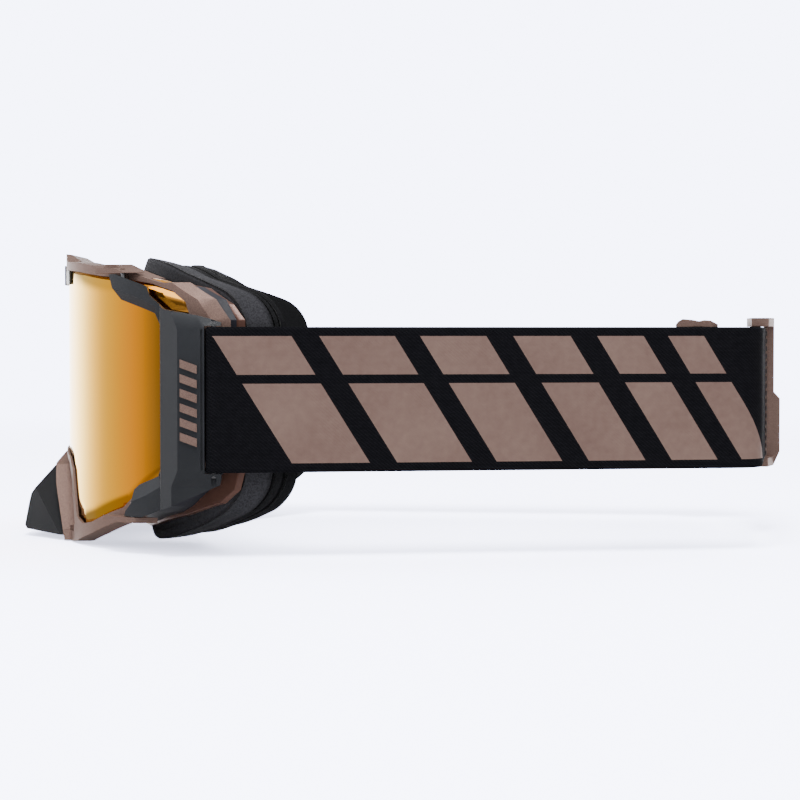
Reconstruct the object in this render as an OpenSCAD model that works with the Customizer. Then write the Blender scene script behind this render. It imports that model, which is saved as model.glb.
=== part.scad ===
// Riding goggles with a cylindrical double lens, a vented frame with three layers of face foam,
// swinging outriggers, a pull-off nose guard and a woven strap with a slider.
// X runs from the lens (negative) to the back of the strap, Y across the face, Z up.
// Inside the modules Z is counted from the strap's centre line; place() sets the part down.

/* [Rim] */
// Height of the strap's centre line over the surface that the goggles stand on
centre_h = 50; // [48:0.5:54]
// Half width of the rim
rim_half_w = 83.2; // [82:0.1:85]
// Rise of the rim's top edge over the centre line
rim_rise = 45.8; // [44:0.2:48]
// Degrees that the rim wraps round the lens's axis on each side
rim_wrap = 69.5; // [68.5:0.1:70]
// How far the rim's temple ends stand ahead of the plan's zero
rim_end = 59.5; // [58:0.1:61]
// Depth of the rim from front to back
rim_depth = 6; // [5:0.25:6.5]
// How far the nose lip stands ahead of the rim
lip_reach = 3.9; // [3:0.1:4.6]
// Depth of the recess between the nose lip and the lens
recess_d = 1.6; // [1:0.1:2]

/* [Lens] */
// Width of the rim's face at the temples
temple_w = 3; // [2.6:0.1:3.6]
// Width of the rim's face at the brow
brow_w = 2.9; // [2.6:0.1:3.6]
// Width of the rim's face under the cheeks
cheek_w = 7; // [6.6:0.1:8]
// Step from the rim's face back to the lens
lens_step = 0.8; // [0.6:0.05:1.2]
// Thickness of the outer lens
outer_lens_t = 1.4; // [1:0.1:1.6]
// Thickness of the foam spacer between the lenses
spacer_t = 2.8; // [2.4:0.1:3]
// Thickness of the inner lens
inner_lens_t = 0.9; // [0.7:0.1:1.1]
// Overlap of the rim on the lens edge
lens_grip = 1.2; // [0.8:0.1:1.4]
// Width of the spacer and the seal
seal_w = 3; // [2.5:0.25:3.25]

/* [Frame and face foam] */
// Thickness of the frame's wall
wall_t = 2.4; // [2:0.1:2.6]
// How far the face flange's temple ends stand behind the rim's
frame_depth = 8.5; // [8:0.1:10]
// How far the face foam stays inside the rim's half width
face_in = 0.6; // [0:0.1:1.6]
// Degrees that the face foam wraps round the face on each side
face_wrap = 51.2; // [49.5:0.1:52]
// How far the face foam stands over the rim's top
face_over = 2.7; // [1.5:0.1:3.5]
// Thickness of the face flange
flange_t = 2.2; // [1.8:0.1:2.4]
// Thickness of the grey base foam
base_t = 10.2; // [9:0.2:11]
// Thickness of the middle foam
mid_t = 3.4; // [3:0.2:4]
// Thickness of the fleece layer
fleece_t = 4.6; // [4:0.2:5]

/* [Outriggers] */
// How far the outrigger plates stand outside the rim's half width
plate_out = 5.4; // [5:0.1:6.4]
// How far the plates' rear edge stands behind the rim's temple ends
plate_back = 3.2; // [2:0.1:4]
// Thickness of the outrigger's plate
plate_t = 3.4; // [3:0.1:3.6]
// Thickness of the outrigger's arms
arm_t = 2.8; // [2.4:0.1:3]
// Gap between the rim and the arms
arm_gap = 0.9; // [0.8:0.1:1]
// Radius of the pivot pins
pivot_r = 0.7; // [0.6:0.05:0.8]
// Radius of the rod that holds the strap's end
rod_r = 0.8; // [0.7:0.05:0.9]
// Height of the raised bars on the plate
inlay_t = 0.6; // [0.4:0.1:0.8]

/* [Strap] */
// Width of the strap
strap_w = 46; // [44:0.5:47]
// Thickness of the strap
strap_t = 1.6; // [1.4:0.1:1.8]
// How far the strap's turns stand behind the plan's zero
strap_back = 132.6; // [125:0.5:140]
// Radius of the strap's turns behind the head
turn_r = 11; // [9:0.5:13]
// Length of the sewn hem at the strap's front end
hem_l = 17; // [14:1:20]
// Length of the slider along the strap
slider_l = 16; // [15:0.5:18]
// How far slider and ring stand over each strap edge
rail_over = 3.4; // [3:0.1:3.8]
// Distance between the ring's two bars
ring_w = 24; // [22:0.5:28]
// Radius of the ring's two bars
ring_bar_r = 1.2; // [1:0.1:1.3]
// Radius of the slider's middle bar
slider_bar_r = 1; // [0.9:0.05:1.1]

/* [Nose guard] */
// How far the guard's tip stands ahead of the rim's front
guard_reach = 15.4; // [14:0.2:17]
// Wall of the nose guard, over its sides
guard_t = 1.8; // [1.4:0.1:2]
// Wall of the nose guard at its tip
guard_hollow = 2.6; // [2.2:0.1:3]

/* [Hidden] */

// Running clearance between a pin and its hole, gap between pieces that lie on each other,
// and the overrun of every cut
pin_gap = 0.05;
lay_gap = 0.3;
over = 1;
$fn = 64;

rim_drop = centre_h;
rim_r = rim_half_w / sin(rim_wrap);
rim_front = rim_end + rim_r * (1 - cos(rim_wrap));
sight_half_w = rim_half_w - temple_w;
sight_rise = rim_rise - brow_w;
sight_drop = rim_drop - cheek_w;
face_half_w = rim_half_w - face_in;
face_r = face_half_w / sin(face_wrap);
face_front = rim_end - frame_depth + face_r * (1 - cos(face_wrap));
face_rise = rim_rise + face_over;
plate_half_w = rim_half_w + plate_out;
plate_rear = rim_end - plate_back;
guard_front = rim_front + guard_reach;
lens_x = rim_r - rim_front;
face_x = face_r - face_front;
outer_r = rim_r - lens_step;
spacer_r = outer_r - outer_lens_t - lay_gap / 3;
inner_r = spacer_r - spacer_t - lay_gap / 3;
seal_r = inner_r - inner_lens_t - lay_gap / 3;
seal_t = 0.6;
ledge_r = seal_r - seal_t - lay_gap / 3;
ledge_t = 2.2;
tall = rim_rise + rim_drop;
deep = rim_front + face_front;

// Half outlines as [share of the half width, share of the rise or the drop], from the top
// centre round the temple to the nose
rim_shares = [[0, 1], [0.264, 0.996], [0.481, 0.974], [0.601, 0.948], [0.656, 0.913], [0.688, 0.95],
    [0.727, 0.948], [0.895, 0.812], [0.925, 0.812], [0.977, 0.692], [1, 0.546], [1, -0.28],
    [0.986, -0.4], [0.901, -0.56], [0.817, -0.72], [0.775, -0.792], [0.577, -0.916], [0.433, -0.986],
    [0.373, -1], [0.294, -1], [0.24, -0.88], [0.156, -0.67], [0.09, -0.566], [0, -0.53]];
sight_shares = [[0, 1], [0.273, 0.995], [0.496, 0.97], [0.682, 0.928], [0.794, 0.909], [0.905, 0.86],
    [0.96, 0.805], [0.99, 0.72], [1, 0.6], [1, -0.326], [0.99, -0.44], [0.943, -0.547], [0.893, -0.64],
    [0.85, -0.721], [0.794, -0.833], [0.608, -0.972], [0.521, -1], [0.447, -0.953],
    [0.416, -0.767], [0.385, -0.593], [0.323, -0.5], [0.174, -0.449], [0, -0.43]];
face_shares = [[0, 1], [0.194, 0.994], [0.387, 0.969], [0.569, 0.915], [0.738, 0.825], [0.872, 0.705],
    [0.962, 0.536], [0.995, 0.289], [1, 0], [0.995, -0.26], [0.969, -0.5], [0.902, -0.69],
    [0.787, -0.83], [0.642, -0.93], [0.496, -0.98], [0.375, -0.98], [0.285, -0.88], [0.212, -0.72],
    [0.145, -0.604], [0.073, -0.54], [0, -0.524]];
eye_shares = [[0, 0.794], [0.182, 0.788], [0.363, 0.767], [0.521, 0.722], [0.666, 0.649], [0.781, 0.546],
    [0.854, 0.402], [0.884, 0.206], [0.889, 0], [0.884, -0.2], [0.854, -0.39], [0.781, -0.54],
    [0.678, -0.66], [0.569, -0.73], [0.496, -0.75], [0.43, -0.71], [0.381, -0.58], [0.315, -0.45],
    [0.224, -0.344], [0.109, -0.296], [0, -0.284]];
// Outlines of the frame's wall and of the face flange, as shares of the rim's sizes
frame_shares = [[0, 0.9], [0.264, 0.895], [0.481, 0.87], [0.66, 0.825], [0.747, 0.81], [0.86, 0.78],
    [0.95, 0.69], [0.985, 0.55], [0.985, -0.28], [0.97, -0.4], [0.9, -0.56], [0.8, -0.7], [0.74, -0.75],
    [0.517, -0.84], [0.41, -0.87], [0.33, -0.87], [0.264, -0.84], [0.235, -0.78], [0.175, -0.65],
    [0.1, -0.54], [0, -0.495]];
flange_shares = [[0, 0.905], [0.3, 0.89], [0.55, 0.845], [0.677, 0.815], [0.747, 0.81], [0.86, 0.775],
    [0.955, 0.66], [0.993, 0.55], [0.993, -0.45], [0.976, -0.58], [0.923, -0.67], [0.772, -0.76],
    [0.513, -0.86], [0.4, -0.89], [0.33, -0.89], [0.26, -0.82], [0.21, -0.71], [0.145, -0.6],
    [0.073, -0.54], [0, -0.52]];
// Outer edge of the nose lip and the recess beside it, as shares of the rim's half width and drop
lip_shares = [[0, -0.396], [0.07, -0.415], [0.14, -0.5], [0.225, -0.7], [0.31, -0.94], [0.326, -1]];
lip_inner_shares = [[0.294, -1], [0.24, -0.88], [0.156, -0.67], [0.09, -0.566], [0, -0.53]];
recess_shares = [[0, -0.41], [0.19, -0.42], [0.3, -0.47], [0.35, -0.58], [0.38, -0.78], [0.4, -0.87],
    [0.38, -0.9], [0, -0.9]];

function full(half, w, up, down) =
    let (pts = [for (s = half) [s[0] * w, s[1] * (s[1] > 0 ? up : down)]], n = len(pts))
    concat(pts, [for (i = [n - 2 : -1 : 1]) [-pts[i][0], pts[i][1]]]);
function unit(v) = v / norm(v);
function right_of(a, b) = let (e = unit(b - a)) [e[1], -e[0]];
// Moves every edge of a clockwise outline inwards by d
function inset(p, d) =
    let (n = len(p))
    [for (i = [0 : n - 1])
        let (n1 = right_of(p[(i + n - 1) % n], p[i]), n2 = right_of(p[i], p[(i + 1) % n]))
        p[i] + d * (n1 + n2) / (1 + n1 * n2)];
// Smooth closed curve through the points, with k steps from each to the next
function spline(p, k) =
    let (n = len(p))
    [for (i = [0 : n - 1], j = [0 : k - 1])
        let (a = p[(i + n - 1) % n], b = p[i], c = p[(i + 1) % n], d = p[(i + 2) % n], t = j / k)
        (2 * b + (c - a) * t + (2 * a - 5 * b + 4 * c - d) * t * t
            + (3 * b - a - 3 * c + d) * t * t * t) / 2];

rim_line = full(rim_shares, rim_half_w, rim_rise, rim_drop);
sight_line = full(sight_shares, sight_half_w, sight_rise, sight_drop);
lens_line = inset(sight_line, -lens_grip);
face_steps = 2;
face_line = spline(full(face_shares, face_half_w, face_rise, rim_drop), face_steps);
eye_line = spline(full(eye_shares, face_half_w, face_rise, rim_drop), face_steps);
frame_line = full(frame_shares, rim_half_w, rim_rise, rim_drop);
flange_line = full(flange_shares, rim_half_w, rim_rise, rim_drop);

module place() {
    translate([shift_x, 0, centre_h]) children();
}

// Front outline run along X
module run_x(line, x1, x2) {
    translate([x1, 0, 0]) rotate([90, 0, 90]) linear_extrude(x2 - x1) polygon(line);
}

// Upright cylinder with its axis at x
module drum(r, x) {
    translate([x, 0, -tall]) cylinder(h = 2 * tall, r = r, $fn = 180);
}

// Slice of a front outline between a front cylinder and the same cylinder moved back
module slice(line, r, x, depth) {
    intersection() {
        run_x(line, -deep, 0);
        difference() {
            drum(r, x);
            drum(r, x + depth);
        }
    }
}

// Shell of a front outline between two radii about the lens axis
module lens_shell(line, r, t) {
    intersection() {
        run_x(line, -deep, lens_x - r / 4);
        difference() {
            drum(r, lens_x);
            drum(r - t, lens_x);
        }
    }
}

module both_sides() {
    children();
    mirror([0, 1, 0]) children();
}

// Side outline run across Y between y1 and y2
module run_y(line, y1, y2) {
    translate([0, y2, 0]) rotate([90, 0, 0]) linear_extrude(y2 - y1) polygon(line);
}

// Plan outline run up between z1 and z2
module run_z(line, z1, z2) {
    translate([0, 0, z1]) linear_extrude(z2 - z1) polygon(line);
}

// X of a point at y on a cylinder of radius r about the lens axis
function on_lens(r, y) = lens_x - sqrt(r * r - y * y);

// The axis on which an outrigger swings, in the middle of its arms' thickness
arm_in_r = rim_r + arm_gap;
arm_r = arm_in_r + arm_t;
arm_mid_r = arm_in_r + arm_t / 2;
arm_under_brow = 5.7;
arm_over_cheek = 11.9;
arm_rise = rim_rise - arm_under_brow;
arm_drop = rim_drop - arm_over_cheek;
pivot_y_shares = [0.811, 0.847];
pivot_top_y = pivot_y_shares[0] * rim_half_w;
pivot_low_y = pivot_y_shares[1] * rim_half_w;
pivot_top = [on_lens(arm_mid_r, pivot_top_y), pivot_top_y, arm_rise];
pivot_low = [on_lens(arm_mid_r, pivot_low_y), pivot_low_y, -arm_drop];
pin_l = 4.5;
ear_t = 1.8;
module pivot_rod(r, z1, z2) {
    along = (pivot_top - pivot_low) / (pivot_top[2] - pivot_low[2]);
    start = pivot_low + along * (z1 - pivot_low[2]);
    translate(start)
        rotate([0, atan2(norm([along[0], along[1]]), along[2]), atan2(along[1], along[0])])
            cylinder(h = norm(along) * (z2 - z1), r = r);
}

// Rim: the outline's slice with the lens pocket, the nose lip and the ears of the pivots
lip_z_shares = [0.396, 0.506];
lip_top = lip_z_shares[0] * rim_drop;
lip_nose = lip_z_shares[1] * rim_drop;
lip_back = 12;
lip_heel = 2;
ear_grow = 1.2;
ear_root = 0.8;
ear_in = 8.6;
ear_past = 2.2;
window_w = 7;
window_h = 3;
window_in = 3.4;
window_y_share = 0.3486;
window_y = window_y_share * rim_half_w;
window_z = rim_drop - window_in - window_h / 2;
// What lies behind the lip's curved and sloping front, moved forward by a gap
module lip_envelope(gap, bottom) {
    intersection() {
        drum(rim_r + lip_reach + gap, lens_x);
        run_y([[-rim_front + lip_back, -lip_top], [-rim_front - gap, -lip_top],
            [-rim_front - lip_reach - gap, -lip_nose], [lip_slope(bottom) - gap, -bottom],
            [-rim_front + lip_back, -bottom]], -rim_half_w, rim_half_w);
    }
}
module nose_lip() {
    outer = [for (s = lip_shares) [s[0] * rim_half_w, s[1] * rim_drop]];
    inner = [for (s = lip_inner_shares) [s[0] * rim_half_w, s[1] * rim_drop]];
    side = concat(outer, inner);
    difference() {
        intersection() {
            run_x(concat(side, [for (i = [len(side) - 2 : -1 : 1]) [-side[i][0], side[i][1]]]), -deep, 0);
            lip_envelope(0, rim_drop);
        }
        drum(rim_r, lens_x + rim_depth);
    }
}
module ear(z, y1, y2) {
    intersection() {
        run_x(inset(rim_line, -ear_grow), -deep, 0);
        difference() {
            drum(arm_r, lens_x);
            drum(rim_r - ear_root, lens_x);
        }
        translate([-deep, y1, z]) cube([deep - rim_half_w / 2, y2 - y1, ear_t]);
    }
}
module low_ear() {
    intersection() {
        difference() {
            drum(arm_r, lens_x);
            drum(rim_r - ear_root, lens_x);
        }
        translate([-deep, pivot_low_y - ear_in, -arm_drop - lay_gap - ear_t])
            cube([deep - rim_half_w / 2, ear_in + ear_past, ear_t]);
    }
}
module front_rim() {
    color("rosybrown") place() difference() {
        union() {
            difference() {
                slice(rim_line, rim_r, lens_x, rim_depth);
                intersection() {
                    run_x(full(recess_shares, rim_half_w, rim_rise, rim_drop), -deep, 0);
                    difference() {
                        drum(rim_r + over, lens_x);
                        drum(rim_r - recess_d, lens_x);
                    }
                }
            }
            nose_lip();
            both_sides() ear(arm_rise + lay_gap, pivot_top_y - ear_in, pivot_top_y + ear_past);
            both_sides() low_ear();
        }
        run_x(sight_line, -deep, 0);
        intersection() {
            run_x(inset(lens_line, -lay_gap / 2), -deep, 0);
            drum(outer_r + lay_gap / 3, lens_x);
        }
        both_sides() pivot_rod(pivot_r + pin_gap, arm_rise - over, arm_rise + ear_t + 2 * over);
        both_sides() pivot_rod(pivot_r + pin_gap, -arm_drop - ear_t - 2 * over, -arm_drop + over);
        both_sides() translate([-rim_front, window_y - window_w / 2, -window_z - window_h / 2])
            cube([lip_back / 2, window_w, window_h]);
    }
}

// Pins that carry the outriggers' arms, one in each ear
module pivot_pins() {
    color("dimgray") place() both_sides() {
        pivot_rod(pivot_r, arm_rise - pin_l, arm_rise + lay_gap + ear_t / 2);
        pivot_rod(pivot_r, -arm_drop - lay_gap - ear_t / 2, -arm_drop + pin_l);
    }
}

// Brow block over the rim's top, and the dark clip that holds the lens edge below it, with a
// knob that stands ahead of the rim
hood_h = 2.6;
hood_half_w = 26;
hood_top_half_w = 18;
hood_depth = 7.4;
hood_slope = 2.4;
clip_h = 5;
clip_half_w = 26;
clip_arch_half_w = 15;
clip_arch = 2.2;
clip_top = sight_rise - lay_gap / 3;
knob_half_w = 6;
knob_over = 1.8;
knob_reach = 0.9;
module brow_hood() {
    top = rim_rise + hood_h;
    color("rosybrown") place() difference() {
        intersection() {
            run_x([[-hood_half_w, clip_top], [-hood_top_half_w, top], [hood_top_half_w, top],
                [hood_half_w, clip_top]], -deep, 0);
            run_y([[-rim_front - over, rim_rise - hood_slope], [-rim_front - over, rim_rise],
                [-rim_front + hood_slope / 2, top], [-rim_front + hood_depth / 2, top - lay_gap],
                [-rim_front + hood_depth, rim_rise]], -rim_half_w, rim_half_w);
            drum(rim_r, lens_x);
        }
        run_x(rim_line, -deep, 0);
    }
}
module lens_clip() {
    color("dimgray") place() {
        intersection() {
            run_x([[-clip_half_w, clip_top], [clip_half_w, clip_top], [clip_half_w, clip_top - clip_h],
                [clip_arch_half_w, clip_top - clip_h], [clip_arch_half_w - clip_arch, clip_top - clip_arch],
                [clip_arch - clip_arch_half_w, clip_top - clip_arch], [-clip_arch_half_w, clip_top - clip_h],
                [-clip_half_w, clip_top - clip_h]], -deep, 0);
            run_x(inset(sight_line, lay_gap / 3), -deep, 0);
            difference() {
                drum(rim_r, lens_x);
                drum(outer_r + lay_gap / 3, lens_x);
            }
        }
        intersection() {
            run_x([[-knob_half_w, clip_top - clip_arch - lay_gap], [-knob_half_w, clip_top],
                [knob_half_w, clip_top], [knob_half_w, clip_top - clip_arch - lay_gap]], -deep, 0);
            difference() {
                drum(rim_r + knob_reach, lens_x);
                drum(rim_r - knob_reach / 2, lens_x);
            }
            run_x(inset(sight_line, lay_gap / 3), -deep, 0);
        }
        intersection() {
            run_x([[-knob_half_w, clip_top - clip_h], [-knob_half_w, clip_top + knob_over],
                [knob_half_w, clip_top + knob_over], [knob_half_w, clip_top - clip_h]], -deep, 0);
            difference() {
                drum(rim_r + knob_reach, lens_x);
                drum(rim_r + lay_gap / 3, lens_x);
            }
        }
    }
}

// Double lens: outer sheet, foam spacer, inner sheet and the seal under it
stack_in = 4;
stack_line = inset(sight_line, stack_in);
module lens_ring(line, width, r, t) {
    difference() {
        lens_shell(line, r, t);
        run_x(inset(line, width), -deep, 0);
    }
}
module outer_lens() {
    color("goldenrod") place() lens_shell(lens_line, outer_r, outer_lens_t);
}
module lens_spacer() {
    color("black") place() lens_ring(stack_line, seal_w, spacer_r, spacer_t);
}
module inner_lens() {
    color("lightgray", 0.5) place() lens_shell(stack_line, inner_r, inner_lens_t);
}
module lens_seal() {
    color("black") place() lens_ring(stack_line, seal_w, seal_r, seal_t);
}

// Frame: the vented wall from the rim and the lens edge back to the face flange, with the lens
// ledge inside
vent_w = 14;
vent_step = 17;
vent_half_rows = 2.5;
vent_rows = [-vent_half_rows : 1 : vent_half_rows];
vent_margin = 1.4;
low_vent_w = 9;
low_vent_y_shares = [0.493, 0.649];
low_vents = [for (v = low_vent_y_shares) v * rim_half_w];
module vent_zone() {
    difference() {
        drum(ledge_r - ledge_t - vent_margin, lens_x);
        drum(face_r, face_x - vent_margin);
    }
}
module frame_body() {
    color("darkslateblue") place() difference() {
        union() {
            difference() {
                run_x(frame_line, -deep, 0);
                run_x(inset(frame_line, wall_t), -deep, 0);
                difference() {
                    run_x(full([[0, 1], [1, 1], [1, -1], [0, -1]], deep, tall, tall), -deep, 0);
                    drum(rim_r, lens_x + rim_depth);
                    intersection() {
                        run_x(inset(sight_line, lay_gap), -deep, 0);
                        drum(spacer_r, lens_x);
                    }
                }
            }
            difference() {
                lens_shell(inset(frame_line, wall_t / 2), ledge_r, ledge_t);
                run_x(inset(stack_line, seal_w), -deep, 0);
            }
        }
        drum(face_r, face_x);
        lens_shell(inset(stack_line, -lay_gap / 2), spacer_r + over, spacer_r + over - ledge_r);
        intersection() {
            vent_zone();
            union() {
                for (i = vent_rows)
                    translate([-deep, i * vent_step - vent_w / 2, rim_rise / 2]) cube([deep, vent_w, tall]);
                both_sides() for (y = low_vents)
                    translate([-deep, y - low_vent_w / 2, -tall]) cube([deep, low_vent_w, tall / 2]);
            }
        }
    }
}

// Filter foam behind the vents
vent_foam_t = 2;
foam_margin = 1.2;
vent_foam_half_w = vent_half_rows * vent_step + vent_w / 2 + foam_margin;
low_foam_in = low_vents[0] - low_vent_w / 2 - foam_margin;
low_foam_out = low_vents[1] + low_vent_w / 2 + foam_margin;
module vent_foam(y1, y2, z1, z2) {
    intersection() {
        difference() {
            run_x(inset(frame_line, wall_t + lay_gap), -deep, 0);
            run_x(inset(frame_line, wall_t + lay_gap + vent_foam_t), -deep, 0);
        }
        difference() {
            drum(ledge_r - ledge_t - lay_gap, lens_x);
            drum(face_r, face_x - lay_gap);
        }
        translate([-deep, y1, z1]) cube([deep, y2 - y1, z2 - z1]);
    }
}
module vent_foam_top() {
    color("black") place() vent_foam(-vent_foam_half_w, vent_foam_half_w, 0, tall);
}
module vent_foam_bottom() {
    color("black") place() both_sides() vent_foam(low_foam_in, low_foam_out, -tall, -rim_drop / 2);
}

// Face flange, and the three layers of foam that follow the same face curve
flange_lip = 2;
module face_flange() {
    color("sienna") place() difference() {
        slice(flange_line, face_r, face_x, flange_t);
        run_x(inset(eye_line, flange_lip), -deep, 0);
    }
}
// Closed tube of foam between the face and eye outlines. Each layer keeps the face curve;
// its corners are drawn in by the rounds given for its front and back edges, and the front
// edge is set in further towards the brow and the cheeks.
function face_curve(y) = face_x - sqrt(face_r * face_r - y * y);
function foam_section(o, e, d1, d2, r1, r2, set) =
    let (v = e - o, w = norm(v), u = v / w,
        spots = [[r1 + set, d1], [(w + r1 + set) / 3, d1], [w - w / 3, d1], [w - r1, d1],
            [w, d1 + r1], [w, d2 - r2], [w - r2, d2], [w - w / 3, d2], [w / 3, d2], [r2, d2],
            [0, d2 - r2], [0, d1 + r1]])
    [for (s = spots) let (q = o + u * s[0]) [face_curve(q[0]) + s[1], q[0], q[1]]];
module foam_layer(d1, d2, r1, r2, in, set) {
    n = len(face_line);
    rings = [for (i = [0 : n - 1])
        let (o = face_line[i], e = eye_line[i], u = unit(e - o))
        foam_section(o + u * in, e - u * in, d1, d2, r1, r2, set * abs(o[1]) / face_rise)];
    m = len(rings[0]);
    polyhedron(points = [for (g = rings) for (q = g) q],
        faces = [for (i = [0 : n - 1], j = [0 : m - 1], h = [0, 1])
            let (a = i * m + j, b = i * m + (j + 1) % m, c = ((i + 1) % n) * m + (j + 1) % m,
                d = ((i + 1) % n) * m + j)
            h == 0 ? [a, b, c] : [a, c, d]]);
}
base_round = 1.6;
base_set = 3.8;
edge_round = 0.8;
fleece_round = 2.8;
foam_in = 0.6;
base_d = flange_t + lay_gap;
mid_d = base_d + base_t + lay_gap;
fleece_d = mid_d + mid_t + lay_gap;
module foam_base() {
    color("dimgray") place() foam_layer(base_d, base_d + base_t, base_round, edge_round, 0, base_set);
}
module foam_mid() {
    color("darkslategray") place() foam_layer(mid_d, mid_d + mid_t, edge_round, edge_round, foam_in, 0);
}
module face_fleece() {
    color("black") place()
        foam_layer(fleece_d, fleece_d + fleece_t, edge_round, fleece_round, foam_in / 2, 0);
}

// Outrigger: arms that hug the rim and a plate that carries the strap's rod.
// Shares of its side outline are of the arms' reach forward from the plate's rear edge and of
// their rise or drop beyond the strap's edge.
tip_share = 0.777;
arm_reach = -on_lens(arm_r, tip_share * rim_half_w) - plate_rear;
rod_in = 2.4;
rod_x = -plate_rear - rod_in;
rod_y = plate_half_w - plate_t / 2 + lay_gap / 3;
plate_rise = 22.2;
bevel_rise = 27.5;
bevel_in = 2.2;
plate_l = 13.7;
chamfer_l = 6;
chamfer_in = 6;
plate_front = plate_rear + plate_l;
chamfer_front = plate_front + chamfer_l;
groove_w = 0.6;
groove_set = 1.2;
strap_gap = 2.6;
high_shares = [[1, 1], [0.94, 1], [0.644, 0.754], [0.62, 0.591], [0.482, 0.327], [0.196, 0.21],
    [0.097, 0.152], [0, 0.082]];
low_shares = [[0, 0.132], [0.013, 0.265], [0.408, 0.702], [0.62, 0.925], [0.699, 1], [0.86, 1],
    [0.85, 0.894], [0.8, 0.728], [0.772, 0.424], [0.725, 0.318], [0.552, 0.126], [0.516, -0.066]];
high_back_shares = [[0.516, 0], [0.568, 0.246], [0.673, 0.339], [0.895, 0.52], [0.97, 0.743]];
arm_y_shares = [0.95, 0.91, 0.87, 0.83, 0.79, 0.75];
// Relief of the tips' inner face, which comes inwards when the outrigger swings out
tip_relief = 0.9;
relief_past = 1.7;
// Chamfers along the arms: how wide and how deep, and between which points of the outline
high_cut_w = 2;
high_cut_t = 1.6;
high_cut_shares = [[0.57, 0.26], [1, 0.63]];
low_cut_w = 3.6;
low_cut_t = 1.7;
low_cut_shares = [[0.86, 0.47], [0.54, 0.1]];
cut_over = 8;
function high_spot(s) = [-plate_rear - s[0] * arm_reach, strap_w / 2 + s[1] * (arm_rise - strap_w / 2)];
function low_spot(s) = [-plate_rear - s[0] * arm_reach, -strap_w / 2 - s[1] * (arm_drop - strap_w / 2)];
function on_arm(p) = [p[0], sqrt(arm_r * arm_r - (p[0] - lens_x) * (p[0] - lens_x)), p[1]];
// Slab that takes a chamfer off the outer face along the edge from a to b
module edge_cut(a, b, w, t) {
    u = unit(b - a);
    out = unit([(a[0] + b[0]) / 2 - lens_x, (a[1] + b[1]) / 2, 0]);
    n = unit(w * out + t * cross(u, out));
    s = cross(n, u);
    o = a - t * out;
    multmatrix([[u[0], s[0], n[0], o[0]], [u[1], s[1], n[1], o[1]], [u[2], s[2], n[2], o[2]]])
        translate([0, -cut_over, 0]) cube([norm(b - a), 2 * cut_over, cut_over]);
}
module outrigger() {
    side = concat([for (s = high_shares) high_spot(s)], [for (s = low_shares) low_spot(s)],
        [for (s = high_back_shares) high_spot(s)]);
    outer_arc = [for (s = arm_y_shares) [on_lens(arm_r, s * rim_half_w), s * rim_half_w]];
    inner_arc = [for (i = [len(arm_y_shares) - 1 : -1 : 0])
        let (y = arm_y_shares[i] * rim_half_w) [on_lens(arm_in_r, y), y]];
    plan = concat([[-plate_rear, plate_half_w], [-plate_front, plate_half_w],
        [-chamfer_front, plate_half_w - chamfer_in]], outer_arc, inner_arc,
        [[-plate_front + arm_t, plate_half_w - plate_t], [-plate_rear, plate_half_w - plate_t]]);
    difference() {
        intersection() {
            run_y(side, 0, plate_half_w + over);
            run_z(plan, -rim_drop, rim_drop);
            run_x([[plate_half_w, plate_rise],
                [plate_half_w - bevel_in, bevel_rise], [plate_half_w - bevel_in, rim_drop],
                [0, rim_drop], [0, -rim_drop], [plate_half_w - bevel_in, -rim_drop],
                [plate_half_w - bevel_in, -bevel_rise], [plate_half_w, -plate_rise]], -deep, 0);
        }
        translate([-plate_rear - strap_gap * 2, plate_half_w / 2, -strap_w / 2 - lay_gap])
            cube([strap_gap * 2 + over, plate_half_w, strap_w + 2 * lay_gap]);
        translate([-plate_rear - strap_gap * 2 - groove_set, plate_half_w - groove_w, -plate_rise])
            cube([groove_w, groove_w + over, 2 * plate_rise]);
        translate([rod_x, rod_y, -rim_drop]) cylinder(h = 2 * rim_drop, r = rod_r + pin_gap);
        pivot_rod(pivot_r + pin_gap, arm_rise - pin_l - lay_gap, arm_rise + over);
        pivot_rod(pivot_r + pin_gap, -arm_drop - over, -arm_drop + pin_l + lay_gap);
        intersection() {
            drum(arm_in_r + tip_relief, lens_x);
            union() {
                translate([-deep, 0, 0]) cube([deep + pivot_top[0] - relief_past, rim_half_w, rim_drop]);
                translate([-deep, 0, -rim_drop])
                    cube([deep + pivot_low[0] - relief_past, rim_half_w, rim_drop]);
            }
        }
        edge_cut(on_arm(high_spot(high_cut_shares[0])), on_arm(high_spot(high_cut_shares[1])),
            high_cut_w, high_cut_t);
        edge_cut(on_arm(low_spot(low_cut_shares[0])), on_arm(low_spot(low_cut_shares[1])),
            low_cut_w, low_cut_t);
    }
}
module outrigger_right() {
    color("darkslategray") place() outrigger();
}
module outrigger_left() {
    color("darkslategray") place() mirror([0, 1, 0]) outrigger();
}

// Raised slanted bars on the plate
bar_w = 5.4;
bar_h = 2.6;
bar_slant = 2;
bar_step = 4.6;
bar_rows = [-2.5 : 1 : 2.5];
bar_set = 0.8;
bar_front = plate_front - bar_set;
module inlay() {
    for (i = bar_rows)
        let (z = i * bar_step - bar_h / 2)
        run_y([[-bar_front, z], [-bar_front + bar_w, z - bar_slant],
            [-bar_front + bar_w, z - bar_slant + bar_h], [-bar_front, z + bar_h]],
            plate_half_w, plate_half_w + inlay_t);
}
module inlay_right() {
    color("rosybrown") place() inlay();
}
module inlay_left() {
    color("rosybrown") place() mirror([0, 1, 0]) inlay();
}

// Steel rod that the strap's end is sewn round
module strap_rod() {
    translate([rod_x, rod_y, -strap_w / 2 - rail_over / 2])
        cylinder(h = strap_w + rail_over, r = rod_r);
}
module strap_rod_right() {
    color("silver") place() strap_rod();
}
module strap_rod_left() {
    color("silver") place() mirror([0, 1, 0]) strap_rod();
}

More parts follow.
